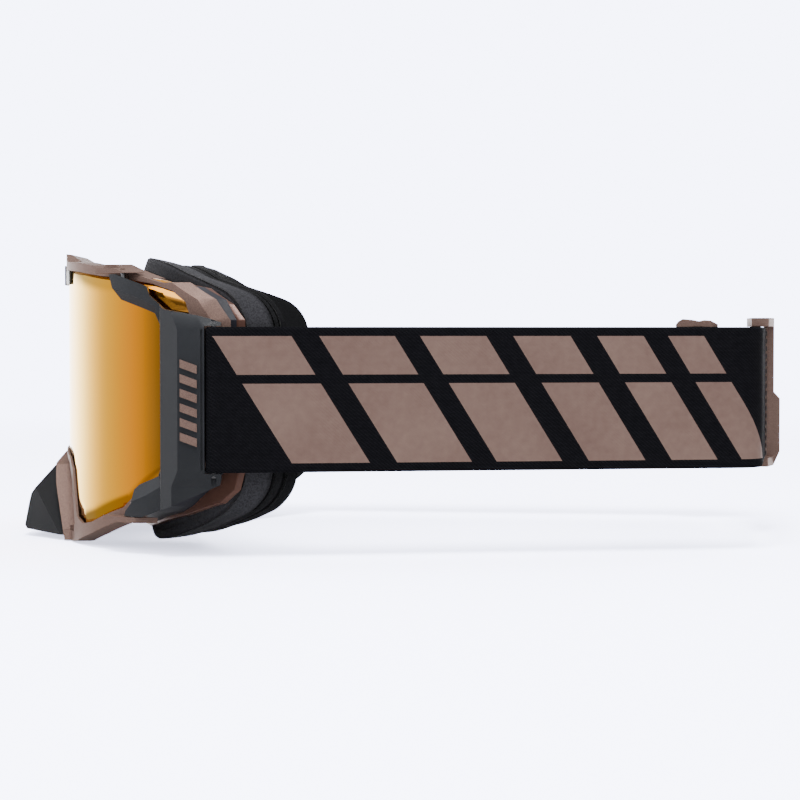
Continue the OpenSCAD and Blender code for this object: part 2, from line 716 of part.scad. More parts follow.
// Strap plan. Each half runs from the outrigger's rod, turns behind the head and ends round a
// bar of the rear ring; the right one comes back inside itself to the slider.
near_set = 15.1;
bar_1_set = 5.8;
bar_2_set = 3.1;
near_turn_y = -62;
far_turn_y = 60;
near_turn = [strap_back - near_set, near_turn_y];
far_turn = [strap_back, far_turn_y];
ring_bar_1 = [strap_back - bar_1_set, 0];
ring_bar_2 = [strap_back - bar_2_set, ring_w];
slider_back = 18.8;
turn_steps = 8;
eye_gap = lay_gap / 3;
eye_set = 0.08;
rod_eye = rod_r + eye_gap + eye_set + strap_t / 2;
ring_eye = ring_bar_r + eye_gap + eye_set + strap_t / 2;
bar_eye = slider_bar_r + eye_gap + eye_set + strap_t / 2;
function left_of(v) = [-v[1], v[0]];
function turned(v, a) = [v[0] * cos(a) - v[1] * sin(a), v[0] * sin(a) + v[1] * cos(a)];
function corner(a, b, c, r) =
    let (u = unit(b - a), v = unit(c - b), turn = atan2(u[0] * v[1] - u[1] * v[0], u * v),
        s = sign(turn), start = b - u * r * tan(abs(turn) / 2), mid = start + s * r * left_of(u))
    [for (i = [0 : turn_steps]) mid - s * r * turned(left_of(u), turn * i / turn_steps)];
function shifted(path, d) =
    let (n = len(path))
    [for (i = [0 : n - 1])
        let (n1 = left_of(unit(path[max(i, 1)] - path[max(i, 1) - 1])),
            n2 = left_of(unit(path[min(i, n - 2) + 1] - path[min(i, n - 2)])))
        path[i] + d * (n1 + n2) / (1 + n1 * n2)];
function band(path, d1, d2) =
    let (a = shifted(path, d1), b = shifted(path, d2), n = len(b))
    concat(a, [for (i = [n - 1 : -1 : 0]) b[i]]);

near_rod = [rod_x, -rod_y];
near_dir = unit(near_turn - near_rod);
near_start = near_rod - rod_eye * left_of(near_dir);
near_end = ring_bar_1 - ring_eye * left_of(unit(ring_bar_1 - near_turn));
near_path = concat([near_start], corner(near_start, near_turn, near_end, turn_r), [near_end]);
far_rod = [rod_x, rod_y];
far_dir = unit(far_turn - far_rod);
far_start = far_rod + rod_eye * left_of(far_dir);
far_end = ring_bar_2 + ring_eye * left_of(unit(ring_bar_2 - far_turn));
far_path = concat([far_start], corner(far_start, far_turn, far_end, turn_r), [far_end]);
far_back = unit(far_turn - far_start);
near_back = unit(near_turn - near_start);

module strap_run(line) {
    run_z(line, -strap_w / 2, strap_w / 2);
}
module strap_eye(centre, r) {
    translate([centre[0], centre[1], -strap_w / 2]) difference() {
        cylinder(h = strap_w, r = r + eye_gap + strap_t);
        translate([0, 0, -over]) cylinder(h = strap_w + 2 * over, r = r + eye_gap);
    }
}
// One side of the strap: the band, the sewn hem inside it and the eyes round rod and ring
module strap_half(path, rod, bar, side) {
    hem = [path[0], path[0] + hem_l * unit(path[1] - path[0])];
    bite = ring_bar_r + eye_gap;
    difference() {
        union() {
            strap_run(band(path, -strap_t / 2, strap_t / 2));
            strap_run(band(hem, side * strap_t / 2, side * 3 * strap_t / 2));
            strap_eye(rod, rod_r);
            strap_eye(bar, ring_bar_r);
        }
        translate([rod[0], rod[1], -strap_w]) cylinder(h = 2 * strap_w, r = rod_r + eye_gap);
        translate([bar[0], bar[1], -strap_w]) cylinder(h = 2 * strap_w, r = bite);
    }
}
module strap_left() {
    color([0.1, 0.1, 0.12]) place() strap_half(near_path, near_rod, ring_bar_1, 1);
}
module strap_right() {
    color([0.1, 0.1, 0.12]) place() strap_half(far_path, far_rod, ring_bar_2, -1);
}

// Return layer of the right strap, from the ring back to the slider's middle bar
layer_step = strap_t + lay_gap;
slider_mid = far_turn - slider_back * far_back;
slider_bar = slider_mid + (layer_step + bar_eye) * left_of(-far_back);
return_turn = far_turn + layer_step * (left_of(-far_back) + [-1, 0]);
return_start = ring_bar_2 + [-ring_eye, ring_eye + strap_t / 2 + lay_gap];
return_end = slider_bar - bar_eye * left_of(-far_back);
return_path = concat([return_start], corner(return_start, return_turn, return_end, turn_r - layer_step),
    [return_end]);
module strap_return() {
    color([0.1, 0.1, 0.12]) place() difference() {
        union() {
            strap_run(band(return_path, -strap_t / 2, strap_t / 2));
            strap_eye(slider_bar, slider_bar_r);
        }
        translate([slider_bar[0], slider_bar[1], -strap_w])
            cylinder(h = 2 * strap_w, r = slider_bar_r + eye_gap);
    }
}

// Slider: two outer bars, a middle bar set inwards and rails over both strap edges
slider_bar_w = 3.2;
slider_bar_t = 1.8;
rail_chamfer = 1.6;
hump_shares = [[-1, 0.3], [-0.88, 0.69], [-0.66, 1], [-0.2, 0.89], [0.1, 0.73], [0.36, 0.86], [0.66, 0.8],
    [1, 0.34]];
slider_out = strap_t / 2 + lay_gap + slider_bar_t;
slider_in = layer_step + bar_eye + slider_bar_r + lay_gap;
module slider_rail() {
    edge = strap_w / 2 + lay_gap;
    hump = [for (s = hump_shares) [s[0] * slider_l / 2, edge + s[1] * (rail_over - lay_gap)]];
    intersection() {
        run_y(concat([[-slider_l / 2, edge]], hump, [[slider_l / 2, edge]]), -slider_in, slider_out);
        run_z([[-slider_l / 2, -slider_in + rail_chamfer], [-slider_l / 2 + rail_chamfer, -slider_in],
            [slider_l / 2 - rail_chamfer, -slider_in], [slider_l / 2, -slider_in + rail_chamfer],
            [slider_l / 2, slider_out], [-slider_l / 2, slider_out]], 0, tall);
    }
}
module strap_slider() {
    edge = strap_w / 2 + lay_gap;
    color("rosybrown") place() translate([slider_mid[0], slider_mid[1], 0])
        rotate([0, 0, atan2(far_back[1], far_back[0])]) {
            slider_rail();
            mirror([0, 0, 1]) slider_rail();
            for (x = [-slider_l / 2, slider_l / 2 - slider_bar_w])
                translate([x, slider_out - slider_bar_t, -edge - lay_gap])
                    cube([slider_bar_w, slider_bar_t, 2 * (edge + lay_gap)]);
            translate([0, -layer_step - bar_eye, -edge - lay_gap])
                cylinder(h = 2 * (edge + lay_gap), r = slider_bar_r);
        }
}

// Rear ring: two upright bars between curved rails, with a grip that stands out behind
rail_out = 1.6;
grip_out = 3.8;
rail_back = strap_back + rail_out;
grip_back = strap_back + grip_out;
grip_y1 = 8;
grip_y2 = 16;
grip_t = 2.4;
ring_rise = strap_w / 2 + rail_over;
ring_rim = 2.4;
module rear_ring() {
    edge = strap_w / 2 + lay_gap;
    rail = [ring_bar_1 + [-ring_rim, -ring_rim], [ring_bar_2[0] - ring_rim, ring_bar_2[1] + ring_rim / 2],
        ring_bar_2 + [0, ring_rim + ring_bar_r], [rail_back - ring_rim / 2, ring_bar_2[1] + ring_rim],
        [rail_back, grip_y2], [rail_back, grip_y1], ring_bar_1 + [ring_rim + ring_bar_r, -ring_rim]];
    color("rosybrown") place() {
        run_z(rail, edge, ring_rise);
        run_z(rail, -ring_rise, -edge);
        for (b = [ring_bar_1, ring_bar_2])
            translate([b[0], b[1], -edge - lay_gap]) cylinder(h = 2 * (edge + lay_gap), r = ring_bar_r);
        run_y([[rail_back - grip_t, ring_rise], [rail_back, ring_rise - grip_t / 2], [rail_back, 0],
            [grip_back, -grip_t], [grip_back, -ring_rise + 2 * grip_t], [rail_back, -ring_rise],
            [rail_back - grip_t, -ring_rise]], grip_y1, grip_y2);
    }
}

// Silicone lines printed on the strap's inner face
line_h = 1.4;
line_t = 0.4;
line_step = 11;
line_rows = [-1 : 1 : 1];
near_line_1 = 40;
near_line_2 = 150;
far_line_1 = 30;
far_line_2 = 80;
module grip_lines() {
    color("dimgray") place() for (i = line_rows) {
        run_z(band([near_start + near_line_1 * near_back, near_start + near_line_2 * near_back],
            strap_t / 2, strap_t / 2 + line_t), i * line_step - line_h / 2, i * line_step + line_h / 2);
        run_z(band([far_start + far_line_1 * far_back, far_start + far_line_2 * far_back],
            -strap_t / 2 - line_t, -strap_t / 2), i * line_step - line_h / 2, i * line_step + line_h / 2);
    }
}

// Nose guard: a faceted hollow beak that clips on the nose lip with two pegs
guard_step = 0.5;
guard_clear = 1.4;
guard_top = lip_nose - guard_step;
guard_rest = rim_drop - guard_clear;
guard_half_share = 0.2885;
guard_half_w = guard_half_share * rim_half_w;
guard_tip_half_w = 5;
guard_top_half_w = 4;
peg_w = 2.4;
peg_h = 3;
peg_over = 7;
peg_z = rim_drop - peg_over;
peg_l = 9;
peg_in = 0.2;
peg_share = (peg_z - peg_h / 2 - guard_top) / (guard_rest - guard_top);
peg_y = guard_top_half_w + (guard_half_w - guard_top_half_w) * peg_share - peg_w - peg_in;
// X of the lip's sloping front at a drop below the centre line
function lip_slope(drop) = -rim_front - lip_reach
    + (lip_reach + lip_heel) * (drop - lip_nose) / (rim_drop - lip_nose);
// Side profile of the beak, as shares of its reach and of its lowest edge
guard_shares = [[0.978, 0.725], [0.986, 0.8], [1, 0.96], [0.993, 0.986]];
module guard_form() {
    difference() {
        intersection() {
            run_y(concat([[-rim_front + lip_heel, -guard_top], [-rim_front - lip_reach, -guard_top]],
                [for (s = guard_shares) [-s[0] * guard_front, -s[1] * guard_rest]],
                [[-rim_front + lip_heel, -guard_rest]]), -rim_half_w, rim_half_w);
            run_z([[-guard_front, -guard_tip_half_w], [-rim_front, -guard_half_w],
                [-rim_front / 2, -guard_half_w], [-rim_front / 2, guard_half_w],
                [-rim_front, guard_half_w], [-guard_front, guard_tip_half_w]], -rim_drop, 0);
            run_x([[guard_top_half_w, -guard_top], [-guard_top_half_w, -guard_top],
                [-guard_half_w, -guard_rest], [guard_half_w, -guard_rest]], -deep, 0);
        }
        lip_envelope(lay_gap, rim_drop);
    }
}
module nose_guard() {
    color("darkslategray") place() {
        difference() {
            guard_form();
            translate([guard_hollow, 0, -guard_t]) guard_form();
        }
        both_sides() translate([-rim_front - lip_reach + lay_gap * 2, peg_y, -peg_z - peg_h / 2])
            cube([peg_l + lip_reach, peg_w, peg_h]);
    }
}

front_x = -guard_front;
rear_x = grip_back;
shift_x = -(front_x + rear_x) / 2;

front_rim();
brow_hood();
lens_clip();
outer_lens();
lens_spacer();
inner_lens();
lens_seal();
frame_body();
vent_foam_top();
vent_foam_bottom();
face_flange();
foam_base();
foam_mid();
face_fleece();
nose_guard();
pivot_pins();
outrigger_left();
outrigger_right();
inlay_left();
inlay_right();
strap_rod_left();
strap_rod_right();
strap_left();
strap_right();
strap_return();
strap_slider();
rear_ring();
grip_lines();
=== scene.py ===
import math
import bpy
import bmesh
import numpy as np
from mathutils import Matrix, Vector


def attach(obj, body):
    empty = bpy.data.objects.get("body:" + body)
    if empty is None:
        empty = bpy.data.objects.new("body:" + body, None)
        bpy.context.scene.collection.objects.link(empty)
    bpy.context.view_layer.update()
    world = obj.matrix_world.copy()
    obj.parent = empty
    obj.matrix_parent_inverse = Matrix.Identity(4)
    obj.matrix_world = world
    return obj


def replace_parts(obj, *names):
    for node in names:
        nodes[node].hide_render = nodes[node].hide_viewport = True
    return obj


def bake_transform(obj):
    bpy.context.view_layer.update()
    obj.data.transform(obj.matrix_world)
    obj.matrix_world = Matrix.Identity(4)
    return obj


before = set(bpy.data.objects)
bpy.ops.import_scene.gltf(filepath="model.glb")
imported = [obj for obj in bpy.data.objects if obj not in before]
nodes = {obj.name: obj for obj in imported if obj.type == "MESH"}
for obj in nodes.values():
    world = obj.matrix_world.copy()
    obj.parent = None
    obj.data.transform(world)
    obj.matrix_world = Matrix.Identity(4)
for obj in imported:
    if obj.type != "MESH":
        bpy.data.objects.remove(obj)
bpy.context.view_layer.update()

# Studio. A long lens looks at the goggles' left side from slightly above. They stand on a pale
# floor in a white room that is darker on the camera's side, which only the mirror lens shows.
eye, aim = Vector((-0.0019, -0.76467, 0.07127)), Vector((-0.0019, -0.088, 0.050))
camera = bpy.data.objects.new("camera", bpy.data.cameras.new("camera"))
bpy.context.scene.collection.objects.link(camera)
camera.location = eye
camera.rotation_euler = (aim - eye).to_track_quat("-Z", "Y").to_euler()
camera.data.lens, camera.data.sensor_width = 96.9, 36.0
camera.data.clip_start, camera.data.clip_end = 0.01, 60.0
bpy.context.scene.camera = camera
seen_white = (6.9, 7.2, 9.4, 1)


def new_material(name):
    """A node material, with its node tree and its Principled shader."""
    m = bpy.data.materials.new(name)
    m.use_nodes = True
    t = m.node_tree
    return m, t, t.nodes["Principled BSDF"]


def node(t, kind, **values):
    """A node of the tree with its properties and input values set by name."""
    n = t.nodes.new("ShaderNode" + kind)
    for key, value in values.items():
        if hasattr(n, key) and key not in n.inputs:
            setattr(n, key, value)
        else:
            n.inputs[key.replace("_", " ")].default_value = value
    return n


def pale_floor():
    """A matt floor, 12 m square. Round the goggles the camera sees it fully lit, so that their
    soft shadows lie on it; from 0.35 to 1.2 m away it goes over to the plain white of the room."""
    me = bpy.data.meshes.new("floor")
    reach, level = 6, -0.0004
    me.from_pydata([(x, y, level) for x, y in ((-reach, -reach), (reach, -reach), (reach, reach),
                                               (-reach, reach))], [], [(0, 1, 2, 3)])
    o = bpy.data.objects.new("floor", me)
    bpy.context.scene.collection.objects.link(o)
    m, t, shader = new_material("floor_paper")
    shader.inputs["Base Color"].default_value = (0.82, 0.83, 0.86, 1)
    shader.inputs["Roughness"].default_value = 0.95
    shader.inputs["Specular IOR Level"].default_value = 0.05
    lit = node(t, "BsdfDiffuse", Color=(3.4, 3.5, 4.4, 1))
    glow = node(t, "Emission", Color=(1.0, 1.04, 1.3, 1), Strength=1.1)
    white = node(t, "Emission", Color=seen_white, Strength=1.0)
    where, far = node(t, "TexCoord"), node(t, "VectorMath", operation="LENGTH")
    fade = node(t, "MapRange", interpolation_type="SMOOTHSTEP", From_Min=0.35, From_Max=1.2)
    t.links.new(where.outputs["Object"], far.inputs[0])
    t.links.new(far.outputs["Value"], fade.inputs["Value"])
    ray, both = node(t, "LightPath"), node(t, "AddShader")
    paper, seen = node(t, "MixShader"), node(t, "MixShader")
    t.links.new(lit.outputs["BSDF"], both.inputs[0])
    t.links.new(glow.outputs["Emission"], both.inputs[1])
    t.links.new(fade.outputs["Result"], paper.inputs["Fac"])
    t.links.new(both.outputs["Shader"], paper.inputs[1])
    t.links.new(white.outputs["Emission"], paper.inputs[2])
    t.links.new(ray.outputs["Is Camera Ray"], seen.inputs["Fac"])
    t.links.new(shader.outputs["BSDF"], seen.inputs[1])
    t.links.new(paper.outputs["Shader"], seen.inputs[2])
    t.links.new(seen.outputs["Shader"], t.nodes["Material Output"].inputs["Surface"])
    me.materials.append(m)
    o.visible_glossy = False


def white_room():
    """World light by direction: a wall that is bright white straight behind the goggles, grey
    beside them and dark on the camera's side, between an even ceiling and a dim foot. The camera
    itself sees plain white."""
    world = bpy.data.worlds.new("studio")
    bpy.context.scene.world = world
    world.use_nodes = True
    t = world.node_tree
    where, part = node(t, "TexCoord"), node(t, "SeparateXYZ")
    t.links.new(where.outputs["Generated"], part.inputs["Vector"])
    depth = node(t, "MapRange", From_Min=-1.0, From_Max=1.0)
    t.links.new(part.outputs["Y"], depth.inputs["Value"])
    wall = node(t, "ValToRGB")
    ramp = wall.color_ramp
    stops = [(0.0, 0.12), (0.3, 0.12), (0.35, 0.24), (0.375, 0.34), (0.41, 0.5), (0.445, 0.74),
             (0.49, 0.93), (0.54, 1.02), (0.62, 1.12), (0.66, 1.2), (0.70, 1.4), (0.75, 2.0),
             (0.79, 2.65), (0.82, 3.4), (0.855, 4.5), (0.89, 5.8), (0.92, 7.0), (1.0, 8.0)]
    ramp.elements[0].position, ramp.elements[1].position = stops[0][0], stops[-1][0]
    for place, _ in stops[1:-1]:
        ramp.elements.new(place)
    for stop, (_, level) in zip(ramp.elements, stops):
        stop.color = (level, level, level * 1.03, 1)
    t.links.new(depth.outputs["Result"], wall.inputs["Fac"])
    rise = node(t, "MapRange", interpolation_type="SMOOTHSTEP", From_Min=0.06, From_Max=0.32)
    fall = node(t, "MapRange", interpolation_type="SMOOTHSTEP", From_Min=-0.15, From_Max=-0.34)
    t.links.new(part.outputs["Z"], rise.inputs["Value"])
    t.links.new(part.outputs["Z"], fall.inputs["Value"])
    foot, ceiling = node(t, "Mix", data_type="RGBA"), node(t, "Mix", data_type="RGBA")
    foot.inputs["B"].default_value = (0.40, 0.40, 0.42, 1)
    ceiling.inputs["B"].default_value = (0.93, 0.94, 0.97, 1)
    t.links.new(fall.outputs["Result"], foot.inputs["Factor"])
    t.links.new(wall.outputs["Color"], foot.inputs["A"])
    t.links.new(rise.outputs["Result"], ceiling.inputs["Factor"])
    t.links.new(foot.outputs["Result"], ceiling.inputs["A"])
    ray, seen = node(t, "LightPath"), node(t, "Mix", data_type="RGBA")
    seen.inputs["B"].default_value = seen_white
    t.links.new(ray.outputs["Is Camera Ray"], seen.inputs["Factor"])
    t.links.new(ceiling.outputs["Result"], seen.inputs["A"])
    t.links.new(seen.outputs["Result"], t.nodes["Background"].inputs["Color"])


pale_floor()
white_room()
for name, place, turn, wide, power in (
        ("overhead", (0.0, -0.55, 1.15), (math.radians(26), 0, 0), 0.45, 12.0),
        ("high front", (-1.1, -0.55, 0.75), (math.radians(58), 0, math.radians(-64)), 0.7, 3.6),
        ("high rear", (0.9, 0.5, 1.0), (math.radians(45), 0, math.radians(120)), 0.8, 4.0)):
    lamp = bpy.data.objects.new(name, bpy.data.lights.new(name, "AREA"))
    bpy.context.scene.collection.objects.link(lamp)
    lamp.data.size, lamp.data.energy = wide, power
    lamp.location, lamp.rotation_euler = place, turn


# Front rim with its brow block. Both are injection-moulded in a pearl bronze plastic, satin on
# the flats, with a small radius on every edge; the block is snapped over the rim's top.
def pearl_bronze(name, colour, rough):
    """Bronze plastic: fine metal flakes tint the colour and tip the surface slightly."""
    m, t, shader = new_material(name)
    where = node(t, "TexCoord")
    flakes = node(t, "TexVoronoi", Scale=5200.0)
    cloud = node(t, "TexNoise", Scale=45.0, Detail=3.0)
    for n in (flakes, cloud):
        t.links.new(where.outputs["Object"], n.inputs["Vector"])
    speck = node(t, "SeparateColor")
    t.links.new(flakes.outputs["Color"], speck.inputs["Color"])
    tint = node(t, "ValToRGB")
    low, high = tint.color_ramp.elements
    low.color = (*[c * 0.82 for c in colour], 1)
    high.color = (*[min(1, c * 1.2) for c in colour], 1)
    blend = node(t, "MapRange", From_Min=0.3, From_Max=0.7, To_Min=-0.25, To_Max=0.25)
    total = node(t, "Math", operation="ADD")
    t.links.new(cloud.outputs["Fac"], blend.inputs["Value"])
    t.links.new(speck.outputs[0], total.inputs[0])
    t.links.new(blend.outputs["Result"], total.inputs[1])
    t.links.new(total.outputs[0], tint.inputs["Fac"])
    t.links.new(tint.outputs["Color"], shader.inputs["Base Color"])
    bump = node(t, "Bump", Strength=0.12, Distance=0.00005)
    t.links.new(speck.outputs[1], bump.inputs["Height"])
    t.links.new(bump.outputs["Normal"], shader.inputs["Normal"])
    shader.inputs["Metallic"].default_value = 0.3
    shader.inputs["Roughness"].default_value = rough
    shader.inputs["Specular IOR Level"].default_value = 0.07
    shader.inputs["Specular Tint"].default_value = (0.34, 0.27, 0.24, 1)
    return m


def finish_solid(name, material, edge=0.0):
    """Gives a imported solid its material, a rounded edge of that width and smooth shading."""
    o = nodes[name]
    o.data.materials.clear()
    o.data.materials.append(material)
    o.data.polygons.foreach_set("material_index", np.zeros(len(o.data.polygons), np.int32))
    o.data.polygons.foreach_set("use_smooth", np.ones(len(o.data.polygons), bool))
    if edge:
        weld = o.modifiers.new("weld", "WELD")
        weld.merge_threshold = 0.000002
        bevel = o.modifiers.new("edge", "BEVEL")
        bevel.width, bevel.segments = edge, 2
        bevel.limit_method, bevel.angle_limit = "ANGLE", math.radians(24)
        bevel.use_clamp_overlap = True
        even = o.modifiers.new("even", "WEIGHTED_NORMAL")
        even.keep_sharp = True
    return o


bronze = pearl_bronze("pearl_bronze", (0.205, 0.135, 0.112), 0.42)
finish_solid("front_rim", bronze, 0.00025)
finish_solid("brow_hood", bronze, 0.0003)


# Lens clip, nose guard and outriggers. These are moulded in a dark grey plastic with a fine
# spark texture; the outriggers are faceted and their edges catch the light.
def spark_plastic(name, colour, rough, shine=0.32):
    """Dark plastic with the fine grain of a spark-eroded mould and slightly uneven gloss."""
    m, t, shader = new_material(name)
    where = node(t, "TexCoord")
    grain = node(t, "TexNoise", Scale=4200.0, Detail=2.0)
    cloud = node(t, "TexNoise", Scale=70.0, Detail=4.0)
    for n in (grain, cloud):
        t.links.new(where.outputs["Object"], n.inputs["Vector"])
    tint = node(t, "ValToRGB")
    low, high = tint.color_ramp.elements
    low.position, high.position = 0.3, 0.7
    low.color = (*[c * 0.9 for c in colour], 1)
    high.color = (*[c * 1.12 for c in colour], 1)
    t.links.new(cloud.outputs["Fac"], tint.inputs["Fac"])
    t.links.new(tint.outputs["Color"], shader.inputs["Base Color"])
    uneven = 0.05
    gloss = node(t, "MapRange", From_Min=0.3, From_Max=0.7, To_Min=rough - uneven,
                 To_Max=rough + uneven)
    t.links.new(cloud.outputs["Fac"], gloss.inputs["Value"])
    t.links.new(gloss.outputs["Result"], shader.inputs["Roughness"])
    bump = node(t, "Bump", Strength=0.25, Distance=0.00006)
    t.links.new(grain.outputs["Fac"], bump.inputs["Height"])
    t.links.new(bump.outputs["Normal"], shader.inputs["Normal"])
    shader.inputs["Specular IOR Level"].default_value = shine
    return m


dark_grey = spark_plastic("dark_grey_plastic", (0.021, 0.0225, 0.026), 0.38)
olive_plastic = spark_plastic("olive_clip_plastic", (0.05, 0.045, 0.03), 0.4)
guard_plastic = spark_plastic("guard_plastic", (0.012, 0.0125, 0.0145), 0.5, 0.12)
finish_solid("lens_clip", olive_plastic, 0.0002)
finish_solid("nose_guard", guard_plastic, 0.0003)
for side in ("left", "right"):
    finish_solid("outrigger_" + side, dark_grey, 0.0003)
    finish_solid("inlay_" + side, bronze, 0.0001)


# Outer lens. A polycarbonate sheet bent to a cylinder, 1.4 mm thick, with a gold mirror coat on
# its front and the amber tint of the sheet behind. The rim holds its edge all round.
mm = 0.001
shift_x, centre_h, lens_axis_x = -1.891, 50.0, -28.393


def in_frame(x, y, z):
    """Points counted in millimetres from the strap's centre line, as metres in the frame."""
    return np.stack(np.broadcast_arrays((x + shift_x) * mm, y * mm, (z + centre_h) * mm), -1)


def full_outline(half, wide, up, down):
    """Half outline of shares, made whole: y is share times wide, z share times up or down."""
    h = np.array(half, float)
    right = np.stack([h[:, 0] * wide, h[:, 1] * np.where(h[:, 1] > 0, up, down)], 1)
    return np.concatenate([right, right[-2:0:-1] * [-1, 1]])


def grown(line, d):
    """Clockwise outline with every edge moved outwards by d, corners mitred."""
    def normal(a, b):
        e = (b - a) / np.linalg.norm(b - a, axis=1, keepdims=True)
        return np.stack([-e[:, 1], e[:, 0]], 1)
    n1, n2 = normal(np.roll(line, 1, 0), line), normal(line, np.roll(line, -1, 0))
    return line + d * (n1 + n2) / (1 + (n1 * n2).sum(1, keepdims=True))


def loft(name, rings, material, uv=None, closed=False):
    """Mesh of a grid of closed rings, (rings, points, 3): quads between neighbouring rings, the
    two end rings filled, or the last joined to the first where the row of rings is closed. uv
    is the length along the rings' row and the length round a ring, for the map named cloth."""
    a, b = rings.shape[:2]
    i, j = np.meshgrid(np.arange(a if closed else a - 1), np.arange(b), indexing="ij")
    k, m = (i + 1) % a, (j + 1) % b
    quads = np.stack([i * b + j, i * b + m, k * b + m, k * b + j], -1).reshape(-1, 4)
    faces = quads.tolist()
    if not closed:
        faces += [list(range(b))[::-1], list(range((a - 1) * b, a * b))]
    me = bpy.data.meshes.new(name)
    me.from_pydata(rings.reshape(-1, 3).tolist(), [], faces)
    if uv is not None:
        along = np.broadcast_to(uv[0][:, None], (a, b + 1))
        across = np.broadcast_to(uv[1][None, :], (a, b + 1))
        corner = np.stack([np.stack([along[i, j], across[i, j]], -1),
                           np.stack([along[i, j], across[i, j + 1]], -1),
                           np.stack([along[k, j], across[k, j + 1]], -1),
                           np.stack([along[k, j], across[k, j]], -1)], 2).reshape(-1, 2)
        spare = np.zeros((len(me.loops) - len(corner), 2))
        layer = me.uv_layers.new(name="cloth")
        layer.data.foreach_set("uv", np.concatenate([corner, spare]).ravel())
    me.materials.append(material)
    me.polygons.foreach_set("use_smooth", np.ones(len(me.polygons), bool))
    bm = bmesh.new()
    bm.from_mesh(me)
    bmesh.ops.recalc_face_normals(bm, faces=bm.faces)
    bm.to_mesh(me)
    o = bpy.data.objects.new(name, me)
    bpy.context.scene.collection.objects.link(o)
    return o


def bent_sheet(name, outline, r, thick, columns, rows, material):
    """Sheet cut to the outline and bent round the lens axis: for each y the rows run between the
    outline's lower and upper edge, at x = axis - sqrt(r^2 - y^2), and back on r - thick."""
    y = outline[:, 0].max() * np.sin(np.linspace(-0.5, 0.5, columns) * math.pi) * 0.9999
    top = outline[outline[:, 1] > 0]
    low = outline[outline[:, 1] <= 0]
    top, low = top[np.argsort(top[:, 0])], low[np.argsort(low[:, 0])]
    z1, z2 = np.interp(y, low[:, 0], low[:, 1]), np.interp(y, top[:, 0], top[:, 1])
    share = np.concatenate([np.linspace(0, 1, rows), np.linspace(1, 0, rows)])
    depth = np.repeat([r, r - thick], rows)
    z = z1[:, None] + (z2 - z1)[:, None] * share
    x = lens_axis_x - np.sqrt(depth[None, :] ** 2 - y[:, None] ** 2)
    return loft(name, in_frame(x, y[:, None], z), material)


def gold_mirror():
    """Evaporated mirror coat: metallic gold, with a faint cloud in the coat. Its colour is painted
    reflection: by the distance from the lens's middle plane it runs from yellow gold in the middle
    to orange on the two flanks, standing in for the way the coat's colour turns with the viewing
    angle."""
    m, t, shader = new_material("gold_mirror")
    where, part = node(t, "TexCoord"), node(t, "SeparateXYZ")
    cloud = node(t, "TexNoise", Scale=18.0, Detail=2.0)
    t.links.new(where.outputs["Object"], cloud.inputs["Vector"])
    t.links.new(where.outputs["Object"], part.inputs["Vector"])
    aside = node(t, "Math", operation="ABSOLUTE")
    t.links.new(part.outputs["Y"], aside.inputs[0])
    place = node(t, "MapRange", From_Min=0.0, From_Max=0.08)
    t.links.new(aside.outputs[0], place.inputs["Value"])
    drift = node(t, "MapRange", From_Min=0.3, From_Max=0.7, To_Min=-0.012, To_Max=0.012)
    t.links.new(cloud.outputs["Fac"], drift.inputs["Value"])
    total = node(t, "Math", operation="ADD")
    t.links.new(place.outputs["Result"], total.inputs[0])
    t.links.new(drift.outputs["Result"], total.inputs[1])
    tint = node(t, "ValToRGB")
    red = 0.93
    # Painted reflection: the coat's colour along that distance, yellow in the middle, orange on
    # flanks.
    coat = [(0.0, 0.54, 0.030), (0.5, 0.54, 0.020), (0.61, 0.455, 0.003), (0.72, 0.41, 0.002),
            (0.79, 0.345, 0.002), (0.84, 0.31, 0.002), (0.875, 0.33, 0.006), (0.92, 0.40, 0.05),
            (1.0, 0.41, 0.07)]
    tint.color_ramp.elements[1].position = 1.0
    for spot, _, _ in coat[1:-1]:
        tint.color_ramp.elements.new(spot)
    for stop, (_, green, blue) in zip(tint.color_ramp.elements, coat):
        stop.color = (red, green, blue, 1)
    t.links.new(total.outputs[0], tint.inputs["Fac"])
    t.links.new(tint.outputs["Color"], shader.inputs["Base Color"])
    shader.inputs["Metallic"].default_value = 1.0
    shader.inputs["Roughness"].default_value = 0.09
    return m


sight_half = [[0, 1], [0.273, 0.995], [0.496, 0.97], [0.682, 0.928], [0.794, 0.909], [0.905, 0.86],
              [0.96, 0.805], [0.99, 0.72], [1, 0.6], [1, -0.326], [0.99, -0.44], [0.943, -0.547],
              [0.893, -0.64], [0.85, -0.721], [0.794, -0.833], [0.608, -0.972],
              [0.521, -1], [0.447, -0.953], [0.416, -0.767], [0.385, -0.593], [0.323, -0.5],
              [0.174, -0.449], [0, -0.43]]
sight_half_w, sight_up, sight_down = 80.2, 42.9, 43.0
lens_r, lens_thick, lens_held = 88.0, 1.4, 1.2
sight = full_outline(sight_half, sight_half_w, sight_up, sight_down)
outer_lens = bent_sheet("mirror_lens", grown(sight, lens_held), lens_r, lens_thick, 181, 12,
                        gold_mirror())
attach(outer_lens, "goggles")
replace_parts(outer_lens, "outer_lens")


